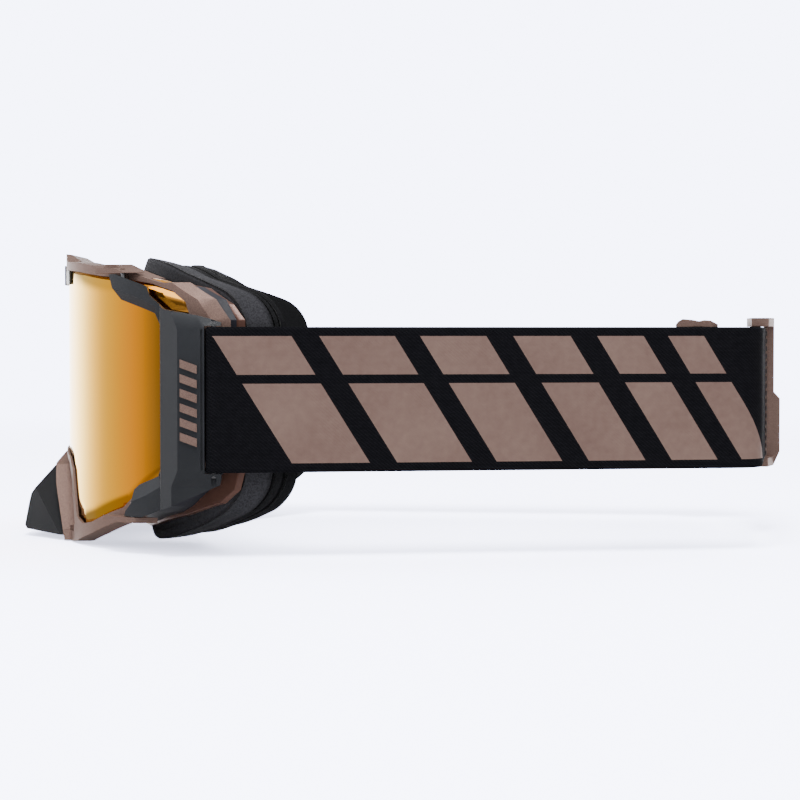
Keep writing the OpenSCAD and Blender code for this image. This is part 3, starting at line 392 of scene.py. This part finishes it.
# Inner sheet, spacer and seal. A clear acetate sheet stands behind the mirror lens on a foam
# spacer all round its edge, and a moulded gasket seals it to the frame.
def soft_black(name, colour, cell, sheen):
    """Foam or moulded rubber: open cells of the given size pit the surface, and the pits are
    darkened with painted shade.
    """
    m, t, shader = new_material(name)
    where = node(t, "TexCoord")
    cells = node(t, "TexVoronoi", Scale=1.0 / cell)
    cloud = node(t, "TexNoise", Scale=0.5 / cell, Detail=4.0)
    for n in (cells, cloud):
        t.links.new(where.outputs["Object"], n.inputs["Vector"])
    depth = node(t, "Math", operation="MULTIPLY")
    t.links.new(cells.outputs["Distance"], depth.inputs[0])
    t.links.new(cloud.outputs["Fac"], depth.inputs[1])
    # Painted shade: the deeper a cell's pit, the darker its colour.
    tint = node(t, "ValToRGB")
    low, high = tint.color_ramp.elements
    low.position, high.position = 0.12, 0.42
    low.color = (*[c * 1.2 for c in colour], 1)
    high.color = (*[c * 0.7 for c in colour], 1)
    t.links.new(depth.outputs[0], tint.inputs["Fac"])
    t.links.new(tint.outputs["Color"], shader.inputs["Base Color"])
    bump = node(t, "Bump", Strength=0.6, Distance=cell * 0.35, invert=True)
    t.links.new(depth.outputs[0], bump.inputs["Height"])
    t.links.new(bump.outputs["Normal"], shader.inputs["Normal"])
    shader.inputs["Roughness"].default_value = 0.92
    shader.inputs["Specular IOR Level"].default_value = 0.08
    shader.inputs["Sheen Weight"].default_value = sheen
    shader.inputs["Sheen Roughness"].default_value = 0.4
    return m


def clear_sheet():
    """Thin clear acetate: almost colourless, smooth and thin enough not to bend what is behind."""
    m, t, shader = new_material("clear_acetate")
    shader.inputs["Base Color"].default_value = (0.93, 0.90, 0.84, 1)
    shader.inputs["IOR"].default_value = 1.49
    shader.inputs["Transmission Weight"].default_value = 0.9
    where = node(t, "TexCoord")
    haze = node(t, "TexNoise", Scale=30.0, Detail=3.0)
    t.links.new(where.outputs["Object"], haze.inputs["Vector"])
    rough = node(t, "MapRange", From_Min=0.4, From_Max=0.7, To_Min=0.02, To_Max=0.07)
    t.links.new(haze.outputs["Fac"], rough.inputs["Value"])
    t.links.new(rough.outputs["Result"], shader.inputs["Roughness"])
    return m


inner_r, inner_thick, inner_inset = 83.6, 0.9, 4.0
inner_lens = bent_sheet("clear_sheet", grown(sight, -inner_inset), inner_r, inner_thick, 141, 8,
                        clear_sheet())
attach(inner_lens, "goggles")
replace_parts(inner_lens, "inner_lens")
seal_black = soft_black("seal_black", (0.03, 0.03, 0.032), 0.0006, 0.1)
finish_solid("lens_spacer", seal_black)
finish_solid("lens_seal", seal_black)


# Frame, face flange and the filter foam behind the vents. The frame is one blue-black moulded
# wall with slots through it; the flange behind it carries the face foam and is coloured a darker,
# redder copy of the rim's bronze as painted shade.
def flange_moulding(name, colour):
    """Satin moulded plastic of the given colour, with a slow change of tone along the wall."""
    m = spark_plastic(name, colour, 0.36)
    shader = m.node_tree.nodes["Principled BSDF"]
    shader.inputs["Metallic"].default_value = 0.3
    shader.inputs["Coat Weight"].default_value = 0.15
    shader.inputs["Coat Roughness"].default_value = 0.3
    return m


finish_solid("frame_body", spark_plastic("frame_navy", (0.016, 0.016, 0.024), 0.4), 0.0003)
# Painted shade: the flange is bronze like the rim, given darker and redder here.
finish_solid("face_flange", flange_moulding("flange_painted_shade", (0.13, 0.062, 0.045)), 0.0003)

frame_half = [[0, 0.9], [0.264, 0.895], [0.481, 0.87], [0.66, 0.825], [0.747, 0.81], [0.86, 0.78],
              [0.95, 0.69], [0.985, 0.55], [0.985, -0.28], [0.97, -0.4], [0.9, -0.56], [0.8, -0.7],
              [0.74, -0.75], [0.517, -0.84], [0.41, -0.87], [0.33, -0.87], [0.264, -0.84],
              [0.235, -0.78], [0.175, -0.65], [0.1, -0.54], [0, -0.495]]
frame_half_w, frame_up, frame_down = 83.2, 45.8, 50.0
frame_edge = full_outline(frame_half, frame_half_w, frame_up, frame_down)
wall_inset, ledge_r = 2.7, 79.4
face_axis_x, face_r = 15.412, 105.987
filter_foam = soft_black("filter_foam", (0.05, 0.05, 0.052), 0.0009, 0.3)


def filter_strip(name, y_list, upper):
    """Strip of foam under the frame's wall: at each y it fills 2 mm inside the frame's outline
    drawn in by 2.7 mm, from 0.3 mm behind the lens ledge to 0.3 mm ahead of the face flange."""
    line = grown(frame_edge, -wall_inset)
    half = line[(line[:, 1] > 0) == upper]
    half = half[np.argsort(half[:, 0])]
    z = np.interp(y_list, half[:, 0], half[:, 1])
    front = lens_axis_x - np.sqrt(ledge_r ** 2 - y_list ** 2)
    back = face_axis_x - np.sqrt(face_r ** 2 - y_list ** 2) - 0.3
    turn = np.linspace(0, 2 * math.pi, 24, endpoint=False)
    c, s = np.cos(turn), np.sin(turn)
    wide, tall = np.sign(c) * np.abs(c) ** 0.3, np.sign(s) * np.abs(s) ** 0.4
    x = (front + back)[:, None] / 2 + (back - front)[:, None] / 2 * wide
    height = z[:, None] + (tall - 1 if upper else tall + 1)
    o = loft(name, in_frame(x, y_list[:, None], height), filter_foam)
    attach(o, "goggles")
    return o


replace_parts(filter_strip("filter_top", np.linspace(-50.6, 50.6, 84), True), "vent_foam_top")
low_strips = [filter_strip("filter_low_" + side, sign * np.linspace(35.4, 59.6, 24), False)
              for side, sign in (("left", -1), ("right", 1))]
for strip in low_strips:
    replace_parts(strip, "vent_foam_bottom")


# Face foam. Three die-cut layers are laminated and glued to the flange: a grey open-cell base,
# a thin middle layer and a brushed black fleece, all bent to the curve of the face. The block
# narrows towards the face at the brow and the cheeks.
def smooth_outline(half, wide, up, down, steps):
    """Closed curve through the outline's points: on each stretch a cubic whose slopes at the
    ends are half the step between the neighbouring points."""
    p = full_outline(half, wide, up, down)
    a, b, c, d = np.roll(p, 1, 0), p, np.roll(p, -1, 0), np.roll(p, -2, 0)
    s = np.linspace(0, 1, steps, endpoint=False)[None, :, None]
    a, b, c, d = (v[:, None, :] for v in (a, b, c, d))
    q = (2 * b + (c - a) * s + (2 * a - 5 * b + 4 * c - d) * s ** 2
         + (3 * b - a - 3 * c + d) * s ** 3) / 2
    return q.reshape(-1, 2)


face_half = [[0, 1], [0.194, 0.994], [0.387, 0.972], [0.585, 0.922], [0.734, 0.845],
             [0.86, 0.765], [0.938, 0.69], [0.985, 0.56], [1, 0.38], [1, 0.1], [1, -0.2],
             [0.99, -0.46], [0.972, -0.6], [0.926, -0.715], [0.865, -0.785], [0.76, -0.87],
             [0.61, -0.945], [0.48, -0.982], [0.375, -0.98], [0.285, -0.88], [0.212, -0.72],
             [0.145, -0.604], [0.073, -0.54], [0, -0.524]]
eye_half = [[0, 0.794], [0.182, 0.788], [0.363, 0.767], [0.521, 0.722], [0.66, 0.66],
            [0.765, 0.58], [0.83, 0.49], [0.868, 0.36], [0.889, 0.2], [0.889, 0.05], [0.887, -0.12],
            [0.876, -0.28], [0.852, -0.4], [0.815, -0.49], [0.76, -0.57], [0.68, -0.66],
            [0.569, -0.73], [0.496, -0.75], [0.43, -0.71], [0.381, -0.58], [0.315, -0.45],
            [0.224, -0.344], [0.109, -0.296], [0, -0.284]]
face_half_w, face_up, face_down = 82.6, 48.5, 50.0
face_edge = smooth_outline(face_half, face_half_w, face_up, face_down, 6)
eye_edge = smooth_outline(eye_half, face_half_w, face_up, face_down, 6)
base_far, fleece_far = 12.9, 21.3
brow_taper, cheek_taper, temple_share = 3.2, 3.0, 0.55


def foam_layer(name, near, far, inset, square, lip, material, stands_for):
    """Closed tube between the face and eye outlines. Its section is a superellipse, with its
    points spaced evenly on each of the four sides: across from outline to outline less the
    inset, and from near to far behind the curve of the face. At the brow and the cheeks the
    outer side is drawn in in step with the depth, the black layers thin out towards the upper
    temples, and the part of the front that is past the flange's edge stands forward by lip."""
    power = 2 / square
    flat, side = np.linspace(-0.975, 0.975, 17), np.linspace(-0.85, 0.85, 5)
    flat_d, side_w = ((1 - np.abs(v) ** power) ** (1 / power) for v in (flat, side))
    wide = np.concatenate([flat, side_w, -flat, -side_w])
    deep = np.concatenate([-flat_d, side, flat_d, -side])
    span = eye_edge - face_edge
    long = np.linalg.norm(span, axis=1, keepdims=True)
    u = span / long
    middle, half = (face_edge + eye_edge) / 2, long / 2 - inset
    aside, rise = np.abs(face_edge[:, :1]) / face_half_w, face_edge[:, 1:] / face_up
    depth = (near + far) / 2 + (far - near) / 2 * deep[None, :]
    narrow = (np.where(rise > 0, brow_taper * np.minimum(depth / base_far, 1),
                       cheek_taper * depth / fleece_far)
              * np.clip((1.05 - aside) / 0.35, 0, 1))
    yz = (middle[:, None, :] + (u * half)[:, None, :] * wide[None, :, None]
          + u[:, None, :] * (narrow * (0.5 - 0.5 * wide))[..., None])
    thin = temple_share * np.clip(rise / 0.45, 0, 1) ** 2 * np.clip((aside - 0.3) / 0.4, 0, 1)
    depth = np.where(depth > base_far, base_far + (depth - base_far) * (1 - thin), depth)
    past = np.where(face_edge[:, 1:] > 0, 0.2, -0.35) - wide[None, :]
    outer = np.clip(past / 0.15, 0, 1) * (1 - 0.75 * np.clip(-wide, 0, 1))
    front = np.clip(-deep / 0.6, 0, 1)
    inboard = np.clip((0.8 - aside) / 0.2, 0, 1)
    away = np.clip((np.abs(face_edge[:, 1:]) - 38) / 6, 0, 1)
    forward = lip * outer * front * inboard * away
    curve = face_axis_x - np.sqrt(face_r ** 2 - yz[..., 0] ** 2)
    rings = in_frame(curve + depth - forward, yz[..., 0], yz[..., 1])
    o = loft(name, rings, material, closed=True)
    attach(o, "goggles")
    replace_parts(o, stands_for)
    return o


grey_foam = soft_black("grey_foam", (0.038, 0.0375, 0.042), 0.00045, 0.04)
mid_foam = soft_black("mid_foam", (0.012, 0.012, 0.013), 0.0004, 0.03)
black_fleece = soft_black("black_fleece", (0.010, 0.010, 0.011), 0.0003, 0.05)
foam_layer("foam_block", 2.5, base_far, 0.1, 0.22, 2.0, grey_foam, "foam_base")
foam_layer("foam_middle", 13.1, 16.4, 0.5, 0.3, 0.0, mid_foam, "foam_mid")
foam_layer("fleece_pad", 16.6, fleece_far, 0.4, 0.4, 0.0, black_fleece, "face_fleece")


# Pins and rods. Drawn steel wire, cut to length: four pins carry the outriggers and one rod on
# each side holds the strap's sewn end.
def drawn_steel():
    """Steel wire with fine draw lines along its length, which is close to upright."""
    m, t, shader = new_material("drawn_steel")
    where = node(t, "TexCoord")
    stretch = node(t, "Mapping")
    stretch.inputs["Scale"].default_value = (4000, 4000, 60)
    lines = node(t, "TexNoise", Scale=1.0, Detail=2.0)
    t.links.new(where.outputs["Object"], stretch.inputs["Vector"])
    t.links.new(stretch.outputs["Vector"], lines.inputs["Vector"])
    rough = node(t, "MapRange", From_Min=0.3, From_Max=0.7, To_Min=0.2, To_Max=0.4)
    t.links.new(lines.outputs["Fac"], rough.inputs["Value"])
    t.links.new(rough.outputs["Result"], shader.inputs["Roughness"])
    shader.inputs["Base Color"].default_value = (0.42, 0.42, 0.43, 1)
    shader.inputs["Metallic"].default_value = 1.0
    return m


steel = drawn_steel()
for name in ("pivot_pins", "strap_rod_left", "strap_rod_right"):
    finish_solid(name, steel)


# Strap. Black woven elastic, 46 mm wide and 1.6 mm thick, printed outside with slanted bronze
# bars. Each half is sewn round its outrigger's rod and goes round a bar of the rear ring, and a
# return layer comes back inside the right half to the slider.
def plan_unit(v):
    """The plan vector's direction, one long."""
    return v / np.linalg.norm(v)


def left_of(v):
    """The plan vector turned a quarter turn to the left."""
    return np.array([-v[1], v[0]])


def straight(a, b, step=2.0):
    """Points from a towards b, b left out, about one step apart."""
    n = max(1, int(np.linalg.norm(b - a) / step))
    return a + (b - a) * np.linspace(0, 1, n, endpoint=False)[:, None]


def arc(centre, r, start, sweep):
    """Points round the centre from the start angle over the sweep, in degrees, every 9."""
    n = max(3, int(abs(sweep) / 9))
    a = np.radians(start + sweep * np.linspace(0, 1, n, endpoint=False))
    return centre + r * np.stack([np.cos(a), np.sin(a)], 1)


def rounded(a, b, c, r):
    """Arc of radius r that joins the line a-b to the line b-c, with its start and end angles."""
    u, v = plan_unit(b - a), plan_unit(c - b)
    turn = math.atan2(u[0] * v[1] - u[1] * v[0], u @ v)
    start = b - u * r * math.tan(abs(turn) / 2)
    side = math.copysign(1, turn)
    spot = start - side * r * -left_of(u)
    first = math.degrees(math.atan2(*(start - spot)[::-1]))
    return start, spot, first, math.degrees(turn)


def eased(a, b, along, n=8):
    """Points from a to b that leave and arrive along the given direction: an S-curve."""
    s = np.linspace(0, 1, n, endpoint=False)[:, None]
    reach = (b - a) @ along
    side = (b - a) - reach * along
    return a + along * reach * s + side * (3 * s ** 2 - 2 * s ** 3)


# The strap's thickness and the air between two layers. The radius of its middle line round the
# rod, the ring's bars, the slider's bar and the bend behind the head. The return layer's step
# inwards, and how far the slider's bar stands from the bend. Then each sewn or tucked end's
# length, and how much of it eases down to the layer that it lies on.
thick, air = 1.6, 0.08
rod_eye, ring_eye, bar_eye, turn_r = 1.78, 2.18, 1.98, 11.0
layer, slider_back = 1.9, 18.8
(hem_long, hem_ease), (ring_long, ring_ease), (tail_long, tail_ease) = (17, 9), (16, 8), (6, 4)


def strap_line(rod, turn, bar, side):
    """Middle line of one half, from the hem's end round the rod, along the outside, through the
    turn behind the head and on to the rear side of its bar. side is +1 on the right."""
    way = plan_unit(turn - rod)
    out = side * left_of(way)
    start = rod + rod_eye * out
    end = bar + side * ring_eye * left_of(plan_unit(bar - turn))
    angle = math.degrees(math.atan2(out[1], out[0]))
    hem = start - (thick + air) * out
    meet = rod - rod_eye * out
    corner_start, spot, first, sweep = rounded(start, turn, end, turn_r)
    after = spot + turn_r * np.array([math.cos(math.radians(first + sweep)),
                                      math.sin(math.radians(first + sweep))])
    return np.concatenate([
        straight(hem + hem_long * way, hem + hem_ease * way),
        eased(hem + hem_ease * way, meet, -way),
        arc(rod, rod_eye, angle + 180, -side * 180), straight(start, corner_start),
        arc(spot, turn_r, first, sweep), straight(after, end)]), end


left_rod, right_rod = np.array([-58.7, -87.0]), np.array([-58.7, 87.0])
near_turn, far_turn = np.array([117.5, -62.0]), np.array([132.6, 60.0])
bar_1, bar_2 = np.array([126.8, 0.0]), np.array([129.5, 24.0])

left_run, left_end = strap_line(left_rod, near_turn, bar_1, -1)
back = plan_unit(bar_1 - near_turn)
angle = math.degrees(math.atan2(*(left_end - bar_1)[::-1]))
inside = bar_1 + ring_eye * left_of(back)
tail = left_end + (thick + air) * left_of(back)
left_line = np.concatenate([left_run, arc(bar_1, ring_eye, angle, 180),
                            eased(inside, tail - ring_ease * back, -back),
                            straight(tail - ring_ease * back, tail - ring_long * back)])

right_run, right_end = strap_line(right_rod, far_turn, bar_2, 1)
angle = math.degrees(math.atan2(*(right_end - bar_2)[::-1]))
right_start = right_rod + rod_eye * left_of(plan_unit(far_turn - right_rod))
far_back = plan_unit(far_turn - right_start)
inward = left_of(-far_back)
slider_bar = far_turn - slider_back * far_back + (layer + bar_eye) * inward
return_turn = far_turn + layer * (inward + np.array([-1.0, 0.0]))
return_start = bar_2 + np.array([-ring_eye, ring_eye + thick / 2 + 0.3])
return_end = slider_bar - bar_eye * inward
corner_start, spot, first, sweep = rounded(return_start, return_turn, return_end, turn_r - layer)
after = spot + (turn_r - layer) * np.array([math.cos(math.radians(first + sweep)),
                                            math.sin(math.radians(first + sweep))])
bar_angle = math.degrees(math.atan2(*(return_end - slider_bar)[::-1]))
under = slider_bar + bar_eye * inward
tail = return_end + (thick + air) * inward
right_line = np.concatenate([right_run, arc(bar_2, ring_eye, angle, -184)])
return_line = np.concatenate([
    straight(right_line[-1], return_start), straight(return_start, corner_start),
    arc(spot, turn_r - layer, first, sweep), straight(after, return_end),
    arc(slider_bar, bar_eye, bar_angle, 180),
    eased(under, tail + tail_ease * far_back, far_back),
    straight(tail + tail_ease * far_back, tail + tail_long * far_back)])


def webbing(name, printed):
    """Woven elastic on the cloth map, in metres: rows across v, row_h apart, each a line of
    floats of length float_l that step back row by row, as a twill does. The print is a row of
    slanted bars, given as shares of print_long, with a bare line along them at split_at."""
    m, t, shader = new_material(name)
    where = node(t, "UVMap", uv_map="cloth")
    part = node(t, "SeparateXYZ")
    t.links.new(where.outputs["UV"], part.inputs["Vector"])

    def maths(kind, a, b=None):
        """Output of a math node whose inputs are numbers or other nodes' outputs."""
        n = node(t, "Math", operation=kind)
        for i, value in enumerate((a, b)):
            if value is None:
                continue
            if isinstance(value, (int, float)):
                n.inputs[i].default_value = value
            else:
                t.links.new(value, n.inputs[i])
        return n.outputs[0]

    u, v = part.outputs["X"], part.outputs["Y"]
    row_h, float_l, back_step = 0.00042, 0.0013, 0.37
    row = maths("DIVIDE", v, row_h)
    step = maths("MULTIPLY", maths("FLOOR", row), back_step)
    float_at = maths("FRACT", maths("ADD", maths("DIVIDE", u, float_l), step))
    hill = maths("SINE", maths("MULTIPLY", float_at, math.pi))
    ridge = maths("SINE", maths("MULTIPLY", maths("FRACT", row), math.pi))
    weave = maths("MULTIPLY", maths("POWER", hill, 0.5), ridge)
    soft = node(t, "TexNoise", Scale=380.0, Detail=4.0)
    slow = node(t, "TexNoise", Scale=35.0, Detail=2.0)
    for n in (soft, slow):
        t.links.new(where.outputs["UV"], n.inputs["Vector"])
    # Painted shade: darker in the weave's grooves, lighter on the float tops, by the weave's
    # height.
    tint = node(t, "ValToRGB")
    low, high = tint.color_ramp.elements
    low.color, high.color = (0.0022, 0.0022, 0.0028, 1), (0.0125, 0.0122, 0.0150, 1)
    fuzz = maths("ADD", soft.outputs["Fac"], 0.45)
    t.links.new(maths("MULTIPLY", weave, fuzz), tint.inputs["Fac"])
    colour = tint.outputs["Color"]
    height = maths("ADD", weave, maths("MULTIPLY", soft.outputs["Fac"], 0.4))
    if printed:
        lean, print_from, print_long = 0.62, 0.0335, 0.172
        slant = maths("ADD", u, maths("MULTIPLY", v, lean))
        share = maths("DIVIDE", maths("SUBTRACT", slant, print_from), print_long)
        bars = node(t, "ValToRGB")
        ramp = bars.color_ramp
        ramp.interpolation = "CONSTANT"
        edges = [0.0, 0.15, 0.20, 0.34, 0.39, 0.515, 0.565, 0.675, 0.725, 0.815, 0.86, 0.93]
        ramp.elements[0].position, ramp.elements[0].color = 0.0, (0, 0, 0, 1)
        ramp.elements[1].position, ramp.elements[1].color = 0.004, (1, 1, 1, 1)
        for i, edge in enumerate(edges[1:]):
            e = ramp.elements.new(edge)
            e.color = (0, 0, 0, 1) if i % 2 == 0 else (1, 1, 1, 1)
        t.links.new(share, bars.inputs["Fac"])
        print_half_h, split_at, split_half = 0.0201, 0.0065, 0.0014
        edge_on = maths("LESS_THAN", maths("ABSOLUTE", v), print_half_h)
        off_split = maths("ABSOLUTE", maths("SUBTRACT", v, split_at))
        split = maths("GREATER_THAN", off_split, split_half)
        mask = maths("MULTIPLY", bars.outputs["Color"], maths("MULTIPLY", edge_on, split))
        ink = node(t, "ValToRGB")
        low, high = ink.color_ramp.elements
        low.position, high.position = 0.3, 0.75
        low.color, high.color = (0.165, 0.105, 0.088, 1), (0.225, 0.150, 0.124, 1)
        t.links.new(maths("ADD", maths("MULTIPLY", slow.outputs["Fac"], 0.6),
                          maths("MULTIPLY", soft.outputs["Fac"], 0.4)), ink.inputs["Fac"])
        over = node(t, "Mix", data_type="RGBA")
        t.links.new(mask, over.inputs["Factor"])
        t.links.new(colour, over.inputs["A"])
        t.links.new(ink.outputs["Color"], over.inputs["B"])
        colour = over.outputs["Result"]
        flat = maths("SUBTRACT", 1.0, maths("MULTIPLY", mask, 0.72))
        height = maths("ADD", maths("MULTIPLY", height, flat), maths("MULTIPLY", mask, 0.9))
        rough = maths("SUBTRACT", 0.85, maths("MULTIPLY", mask, 0.33))
        t.links.new(rough, shader.inputs["Roughness"])
    else:
        shader.inputs["Roughness"].default_value = 0.85
    t.links.new(colour, shader.inputs["Base Color"])
    bump = node(t, "Bump", Strength=0.55, Distance=0.00018)
    t.links.new(height, bump.inputs["Height"])
    t.links.new(bump.outputs["Normal"], shader.inputs["Normal"])
    shader.inputs["Specular IOR Level"].default_value = 0.02
    return m


def ribbon(name, line, side, materials):
    """Flat strip along a plan line, standing 46 mm tall. Its section is thick by 46 mm with
    round selvedges that stand 0.06 mm proud; outside is where side points."""
    way = np.gradient(line, axis=0)
    way /= np.linalg.norm(way, axis=1, keepdims=True)
    out = side * np.stack([-way[:, 1], way[:, 0]], 1)
    run = np.concatenate([[0], np.cumsum(np.linalg.norm(np.diff(line, axis=0), axis=1))])
    selvedge = np.array([20.8, 21.2, 22.2, 22.7])
    z = np.concatenate([-selvedge[::-1], np.linspace(-19, 19, 14), selvedge])
    bead = np.where((np.abs(z) > 21) & (np.abs(z) < 22.5), 0.06, 0.0)
    depth = thick / 2 + bead - np.where(np.abs(z) > 22.5, 0.18, 0.0)
    section_z = np.concatenate([z, [23.0, 23.0], z[::-1], [-23.0, -23.0]])
    section_d = np.concatenate([depth, [0.35, -0.35], -depth[::-1], [-0.35, 0.35]])
    xy = line[:, None, :] + out[:, None, :] * section_d[None, :, None]
    rings = in_frame(xy[..., 0], xy[..., 1], np.broadcast_to(section_z, xy.shape[:2]))
    across = np.append(section_z, section_z[0]) * mm
    o = loft(name, rings, materials[0], uv=(run * mm, across))
    o.data.materials.append(materials[1])
    j = np.tile(np.arange(len(section_z)), len(line) - 1)
    index = np.append((j >= len(z) - 1).astype(np.int32), [1, 1]).astype(np.int32)
    o.data.polygons.foreach_set("material_index", index)
    return o


printed, plain = webbing("strap_printed", True), webbing("strap_plain", False)
left_strap = ribbon("left_webbing", left_line, -1, (printed, plain))
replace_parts(left_strap, "strap_left")
right_strap = ribbon("right_webbing", right_line, 1, (printed, plain))
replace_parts(right_strap, "strap_right")
return_layer = ribbon("return_webbing", return_line, 1, (plain, plain))
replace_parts(return_layer, "strap_return")
left_way = plan_unit(near_turn - left_rod)
right_way = plan_unit(far_turn - right_rod)


def pulled_by(o, rod, way, first=1.0, last=29.0):
    """Bakes the piece's place into its mesh. The points at the distances first and last along way
    from rod are worked out but not used, so nothing moves with the arm or bar or takes up a
    difference."""
    spots = [in_frame(*(rod + d * way), 0.0) for d in (first, last)]
    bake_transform(o)


pulled_by(left_strap, left_rod, left_way)
pulled_by(right_strap, right_rod, right_way)
pulled_by(return_layer, slider_bar, far_back, first=6.5,
          last=float((after - slider_bar) @ far_back))


# Stitches. Rows of black polyester thread close the hem behind each rod and beside the ring's
# bar. At the rods the print covers them outside, and they show on the hem's inner side.
def stitch_rows(name, place, way, out, offsets):
    """Rows of stitches across the strap: each stitch is a small ellipsoid 2 mm long and 0.3 mm
    thick, one every 2.6 mm in z, laid on the point place + offset * way on the side of out."""
    theta, phi = np.meshgrid(np.linspace(0, math.pi, 7),
                             np.linspace(0, 2 * math.pi, 8, endpoint=False), indexing="ij")
    ball = np.stack([0.17 * np.sin(theta) * np.cos(phi), 0.15 * np.sin(theta) * np.sin(phi),
                     np.cos(theta)], -1).reshape(-1, 3)
    quads = [(i * 8 + j, (i + 1) * 8 + j, (i + 1) * 8 + (j + 1) % 8, i * 8 + (j + 1) % 8)
             for i in range(6) for j in range(8)]
    z = np.arange(-20.8, 20.9, 2.6)
    spots = np.array([[off, level] for off in offsets for level in z])
    axes = np.array([[*way, 0], [*out, 0], [0, 0, 1]])
    base = np.array([*place, 0]) + spots[:, :1] * axes[0] + spots[:, 1:] * axes[2]
    points = base[:, None, :] + (ball @ axes)[None, :, :]
    flat = points.reshape(-1, 3)
    faces = (np.array(quads)[None] + 56 * np.arange(len(spots))[:, None, None]).reshape(-1, 4)
    me = bpy.data.meshes.new(name)
    me.from_pydata(in_frame(flat[:, 0], flat[:, 1], flat[:, 2]).tolist(), [], faces.tolist())
    bm = bmesh.new()
    bm.from_mesh(me)
    bmesh.ops.remove_doubles(bm, verts=bm.verts, dist=0.000001)
    bmesh.ops.recalc_face_normals(bm, faces=bm.faces)
    bm.to_mesh(me)
    me.materials.append(thread)
    me.polygons.foreach_set("use_smooth", np.ones(len(me.polygons), bool))
    o = bpy.data.objects.new(name, me)
    bpy.context.scene.collection.objects.link(o)
    return o


thread = spark_plastic("black_thread", (0.02, 0.02, 0.022), 0.6)
hem_face, ring_face = 0.72, 0.82
hem_rows, ring_rows_at = (12.0, 15.0), (-14.0, -11.0)
left_rows = stitch_rows("left_hem_stitches", left_rod + hem_face * left_of(left_way), left_way,
                        left_of(left_way), hem_rows)
pulled_by(left_rows, left_rod, left_way)
right_rows = stitch_rows("right_hem_stitches", right_rod - hem_face * left_of(right_way),
                         right_way, -left_of(right_way), hem_rows)
pulled_by(right_rows, right_rod, right_way)
ring_rows = stitch_rows("ring_stitches", left_end - ring_face * left_of(back), back,
                        -left_of(back), ring_rows_at)
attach(ring_rows, "goggles")


# Slider and rear ring, moulded in the same bronze plastic as the rim, and the silicone lines
# printed inside the strap, which keep it from slipping.
finish_solid("strap_slider", bronze, 0.0003)
finish_solid("rear_ring", bronze, 0.0003)
finish_solid("grip_lines", spark_plastic("grip_silicone", (0.06, 0.05, 0.047), 0.3), 0.00015)
